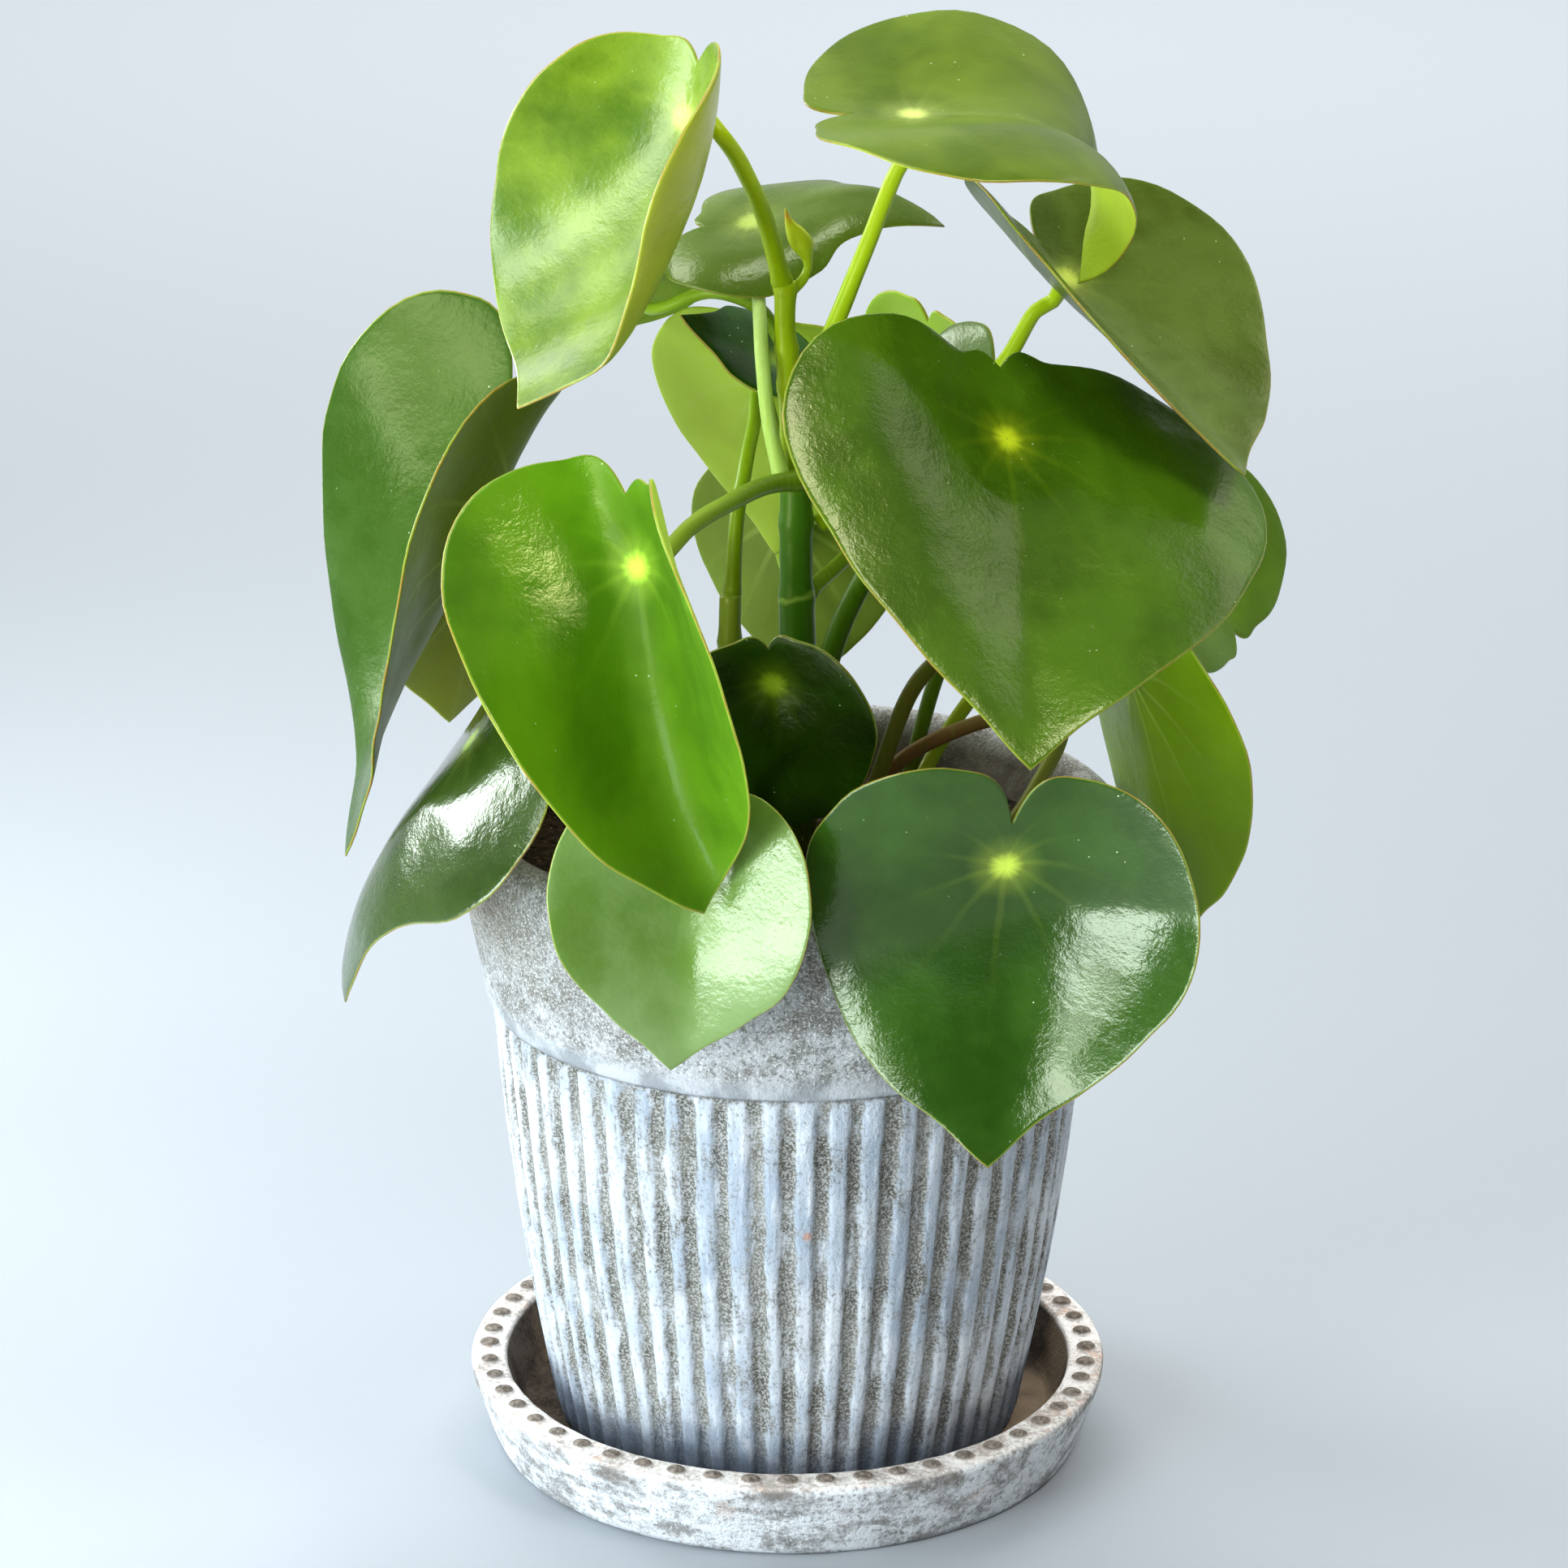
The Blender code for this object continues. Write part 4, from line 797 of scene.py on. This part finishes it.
def build_saucer():
    rows = [(0, 0.0, 0), (40, 0.0, 0), (70.0, 0.0, 0), (71.4, 0.25, 0), (72.1, 1.3, 0)]
    for i in range(1, 12):
        t = i / 12
        rows.append((72.1 + 5.6 * t ** 0.92, 1.3 + 16.2 * t, 0))
    rows += [(77.9, 18.2, 0), (78.0, 19.1, 0.2), (77.7, 19.9, 0.6), (77.1, 20.4, 1)]
    for r in np.arange(76.7, 70.4, -0.42):
        rows.append((float(r), 20.45, 1))
    rows += [(70.0, 20.35, 1), (69.5, 20.0, 1.1), (69.2, 19.2, 1.6)]
    for i in range(1, 7):
        t = i / 7
        rows.append((69.2 - 3.9 * t, 19.2 - 12.4 * t, 2))
    rows += [(64.9, 6.2, 2), (64.0, SAUCER_FLOOR_Z, 2), (40, SAUCER_FLOOR_Z, 2), (0, SAUCER_FLOOR_Z, 2)]
    n = 20 * BEADS
    beads = {}
    rb = 73.7

    def point(i, row, a):
        r, z, zone = row
        if 0.9 < zone < 1.5 and 70.2 < r < 77:
            pitch = 2 * math.pi / BEADS
            k = round(a / pitch)
            jitter = 0.10 * noise.noise(Vector((k * 7.1, 2.0, 1.0)))
            da = (a - (k + jitter) * pitch) * rb
            d = math.hypot(da / 1.0, (r - rb) / 0.95)
            size = 2.55 + 0.35 * noise.noise(Vector((k * 5.3, 0.4, 9.0)))
            h = math.sqrt(max(0.0, 1 - (d / size) ** 2))
            beads[(i, a)] = min(1.0, max(0.0, (size + 0.5 - d) / 1.2))
            z += 1.25 * h - 0.10
        if z > 0.2 and zone < 2:
            f = 0.22 * fbm(math.cos(a) * 4, math.sin(a) * 4, z / 7)
            r += f
            if zone > 0.5:
                z += 0.10 * fbm(math.cos(a) * 16, math.sin(a) * 16, r / 5)
        return (r * math.cos(a), r * math.sin(a), z)

    verts, faces, which = ringed(rows, n, False, point)
    faces = [tuple(reversed(f)) for f in faces]
    bead = np.array([beads.get(w, 0.0) for w in which])
    zone = np.array([rows[i][2] for i, _ in which], float)
    make_object("clay_saucer", verts, faces, saucer_material(), "saucer", [("bead", "FLOAT", bead), ("zone", "FLOAT", zone)])


def build_soil():
    rows = [(0, 14.8), (47.5, 14.8), (50.0, 16.9), (66.6, 132), (68.3, 146.5)]
    for r in list(np.linspace(68.0, 60, 6)) + list(np.linspace(58, 4, 27)):
        rows.append((float(r), 149.4))
    rows.append((0, 150.9))

    def point(i, row, a):
        r, z = row
        x, y = r * math.cos(a), r * math.sin(a)
        if z > 149:
            z = 149.2 + 0.9 * (1 - (r / 68) ** 2) + 0.85 * fbm(x / 5, y / 5, 0.3) + 0.5 * noise.noise(Vector((x / 1.6, y / 1.6, 3)))
        return (x, y, z)

    verts, faces, _ = ringed(rows, 220, False, point)
    faces = [tuple(reversed(f)) for f in faces]
    make_object("potting_soil", verts, faces, soil_material(), "soil")


# ================================================================ stems
def build_stems():
    nodes = (166, 182, 198, 215, 233, 245.5, 266, 275, 290)
    path, t = path_through(MAIN_STEM, 2.0)
    swell = sum(0.55 * np.exp(-(((path[:, 2] - z) / 1.8) ** 2)) for z in nodes)
    sheath = 0.35 / (1 + np.exp((path[:, 2] - 214) * 1.5))
    v, f, al = tube(path[:, :3], path[:, 3] - 0.25 + swell + sheath, 28, 0.05, 1.0)
    m = stalk_material("main_stem_skin", "#3c3a14", "#1f4a08", "#3f6c0c", 152, True,
                       [(290, 2.4, "#c9cf6a"), (275, 1.2, "#a8b83c"), (266, 1.4, "#a8b83c"), (246, 1.8, "#b5cc4a"), (214, 1.2, "#86a03c")])
    # upper internodes are lime green
    nt = m.node_tree
    bs = nt.nodes["Principled BSDF"]
    old = bs.inputs["Base Color"].links[0].from_socket
    z = nt.nodes.new("ShaderNodeTexCoord")
    s = nt.nodes.new("ShaderNodeSeparateXYZ")
    nt.links.new(z.outputs["Object"], s.inputs[0])
    mr = nt.nodes.new("ShaderNodeMapRange")
    mr.inputs["From Min"].default_value = 0.240
    mr.inputs["From Max"].default_value = 0.256
    nt.links.new(s.outputs[2], mr.inputs["Value"])
    mx = nt.nodes.new("ShaderNodeMix")
    mx.data_type = "RGBA"
    nt.links.new(mr.outputs[0], mx.inputs[0])
    nt.links.new(old, mx.inputs[6])
    mx.inputs[7].default_value = rgb("#8a9f08")
    nt.links.new(mx.outputs[2], bs.inputs["Base Color"])
    make_object("stem_main", v, f, m, "main_stem", [("along", "FLOAT", al)])

    path, t = path_through(SIDE_STEM, 2.0)
    swell = sum(0.45 * np.exp(-(((path[:, 2] - z) / 1.8) ** 2)) for z in (170, 186, 200))
    v, f, al = tube(path[:, :3], path[:, 3] - 0.2 + swell, 22, 0.06, 5.0)
    m = stalk_material("side_stem_skin", "#5a4a18", "#4c5c12", "#6c7c1c", 158, False, [(186, 2.0, "#7a4a1c"), (200, 1.2, "#86a03c")])
    make_object("stem_side", v, f, m, "side_stem", [("along", "FLOAT", al)])

    path, t = path_through(BUD, 0.7)
    v, f, al = tube(path[:, :3], np.maximum(path[:, 3], 0.12), 20)
    m = stalk_material("bud_skin", "#7c8c0c", "#7f9a0a", "#a8b51c", 100, False, [(308, 2.2, "#b8702c")])
    make_object("bud_leaf_rolled", v, f, m, "bud_leaf", [("along", "FLOAT", al)])


STALK_COLOURS = {
    "leaf_back_top": ("#a8c060", "#a4c254", "#c4dc8c", 100),
    "leaf_top_left": ("#8a9f00", "#869c00", "#98b008", 100),
    "leaf_top_right": ("#8a9f00", "#8fae00", "#a4ba10", 100),
    "leaf_upper_right": ("#6c8c00", "#86a408", "#98b40c", 100),
    "leaf_mid_left": ("#6c8c00", "#64840c", "#8ca830", 100),
    "leaf_centre_large": ("#3c4c04", "#345404", "#4c7408", 152),
    "leaf_front_right": ("#6a6428", "#56601a", "#3c6408", 190),
    "leaf_right_low": ("#7a5238", "#7a5238", "#6c7c10", 176),
    "leaf_right_back": ("#86902c", "#8c9c20", "#98ac24", 152),
    "leaf_back_pale": ("#5c6c04", "#6c8a08", "#8cae14", 210),
    "leaf_low_left": ("#4c3c1c", "#3f5c08", "#4c7408", 168),
    "leaf_back_upper": ("#4c5408", "#446004", "#5c7c08", 160),
}


def build_leaves():
    for name in LEAVES:
        p = leaf_params(name)
        deep, light, under, spot, rough, coat = PALETTE[name]
        v, f, flats, sides = blade_mesh(p)
        m = leaf_material(name + "_skin", deep, light, under, spot, rough, coat)
        make_object(name + "_blade_fine", v, f, m, name + "_blade", [("leaf_flat", "FLOAT_VECTOR", flats), ("leaf_side", "FLOAT", sides)])

        foot, top, pts = STALKS[name]
        n = attitude(p)[:, 2]
        at = blade_surface(p, np.array([0.0]), np.array([0.0]))[0]
        first = np.array(pts[0], float)
        into = first - np.array(pts[1], float)
        into /= np.linalg.norm(into)
        ctrl = [first + into * 1.6] + list(pts) + [at - n * 7.0, at - n * 3.5, at - n * 0.5]
        path, t = path_through(ctrl, 2.2)
        length = np.concatenate([[0], np.cumsum(np.linalg.norm(np.diff(path, axis=0), axis=1))])
        rad = foot + (top - foot) * t
        rad = rad * (1 + 0.22 * np.exp(-length / 3.0) + 0.30 * np.exp(-(length[-1] - length) / 1.8))
        v, f, al = tube(path, rad, 16, 0.05, 3.0 * p["seed"])
        low, mid, high, brown = STALK_COLOURS.get(name, ("#6c5424", "#6c8a18", "#8cae24", 156))
        m = stalk_material(name + "_stalk_skin", low, mid, high, brown)
        make_object(name + "_stalk_fine", v, f, m, name + "_stalk", [("along", "FLOAT", al)])


# ================================================================ stage, light, camera
def build_stage():
    s = 6.0
    me = bpy.data.meshes.new("floor")
    me.from_pydata([(-s, -s, 0), (s, -s, 0), (s, s, 0), (-s, s, 0)], [], [(0, 1, 2, 3)])
    fl = bpy.data.objects.new("floor", me)
    fl.location.z = -0.0002
    bpy.context.scene.collection.objects.link(fl)
    t = Tree("floor_pale")
    t.set(colour=rgb("#989ea3"), rough=0.7, spec=0.2)
    me.materials.append(t.mat)

    w = bpy.data.worlds.new("studio")
    bpy.context.scene.world = w
    w.use_nodes = True
    nt = w.node_tree
    bg = nt.nodes["Background"]
    co = nt.nodes.new("ShaderNodeTexCoord")
    sep = nt.nodes.new("ShaderNodeSeparateXYZ")
    nt.links.new(co.outputs["Generated"], sep.inputs[0])
    mr = nt.nodes.new("ShaderNodeMapRange")
    mr.inputs["From Min"].default_value = -0.9
    mr.inputs["From Max"].default_value = 0.7
    mr.inputs["To Min"].default_value = 0.10
    mr.inputs["To Max"].default_value = 0.55
    nt.links.new(sep.outputs[1], mr.inputs["Value"])
    nt.links.new(mr.outputs[0], bg.inputs[1])
    bg.inputs[0].default_value = rgb("#eceef0")


def area_light(name, place, target, size, power, colour):
    li = bpy.data.lights.new(name, "AREA")
    li.shape = "RECTANGLE"
    li.size, li.size_y = size
    li.energy = power
    li.color = colour
    ob = bpy.data.objects.new(name, li)
    ob.location = place
    d = Vector(target) - Vector(place)
    ob.rotation_euler = d.to_track_quat("-Z", "Y").to_euler()
    ob.visible_camera = False
    bpy.context.scene.collection.objects.link(ob)
    return ob


def build_lights():
    mid = (0, -0.02, 0.2)
    white = (1.0, 1.0, 1.0)
    area_light("window_left_upper", (-0.42, -0.50, 0.36), (-0.05, -0.02, 0.30), (0.30, 0.24), 3.0, (0.84, 0.94, 1.0))
    area_light("window_left_lower", (-0.50, -0.40, 0.085), (0.0, -0.09, 0.15), (0.40, 0.15), 3.2, (0.80, 0.92, 1.0))
    area_light("window_left_mid", (-0.589, -0.217, 0.60), (-0.03, -0.03, 0.33), (0.30, 0.30), 1.8, (0.86, 0.95, 1.0))
    area_light("window_left_back", (-0.555, 0.28, 0.33), (-0.07, -0.04, 0.18), (0.34, 0.16), 3.0, (0.86, 0.95, 1.0))
    area_light("window_left_high", (-0.476, 0.281, 0.77), (-0.03, -0.03, 0.33), (0.35, 0.28), 1.8, (0.96, 0.99, 1.0))
    area_light("window_right_high", (0.343, -0.389, 0.865), (-0.03, -0.08, 0.24), (0.22, 0.20), 3.0, (1.0, 0.98, 0.94))
    area_light("window_right_back", (0.86, 0.30, 0.98), (0.05, -0.03, 0.27), (0.55, 0.34), 1.2, (1.0, 0.99, 0.93))
    back = area_light("soft_back_high", (0.1, 1.9, 1.7), (0, 0.6, 0.1), (2.4, 1.4), 95.0, white)
    fill = area_light("soft_front", (-0.45, -1.7, 0.95), mid, (1.6, 1.2), 15.0, white)
    area_light("window_top", (-0.04, 0.02, 1.0), (0, 0.02, 0.3), (0.16, 0.16), 0.9, (0.92, 0.97, 1.0))
    back.visible_glossy = fill.visible_glossy = False



def build_camera():
    focal, pitch, roll = 6800.0, 19.65 * DEG, 0.28 * DEG
    target, dist = Vector((-1.6, 0, 167.8)) * MM, 1.315
    fwd = Vector((0, math.cos(pitch), -math.sin(pitch)))
    up = Vector((0, math.sin(pitch), math.cos(pitch)))
    right = Vector((1, 0, 0))
    x = right * math.cos(roll) + up * math.sin(roll)
    y = -right * math.sin(roll) + up * math.cos(roll)
    cam = bpy.data.cameras.new("camera")
    cam.sensor_width = 36
    cam.lens = focal * 36 / PHOTO
    cam.clip_start, cam.clip_end = 0.05, 50
    ob = bpy.data.objects.new("camera", cam)
    m = Matrix((x, y, -fwd)).transposed().to_4x4()
    m.translation = target - fwd * dist
    ob.matrix_world = m
    bpy.context.scene.collection.objects.link(ob)
    bpy.context.scene.camera = ob


bpy.context.scene.view_settings.view_transform = "Standard"
build_saucer()
build_pot()
build_soil()
build_stems()
build_leaves()
build_stage()
build_lights()
build_camera()

bpy.context.view_layer.update()
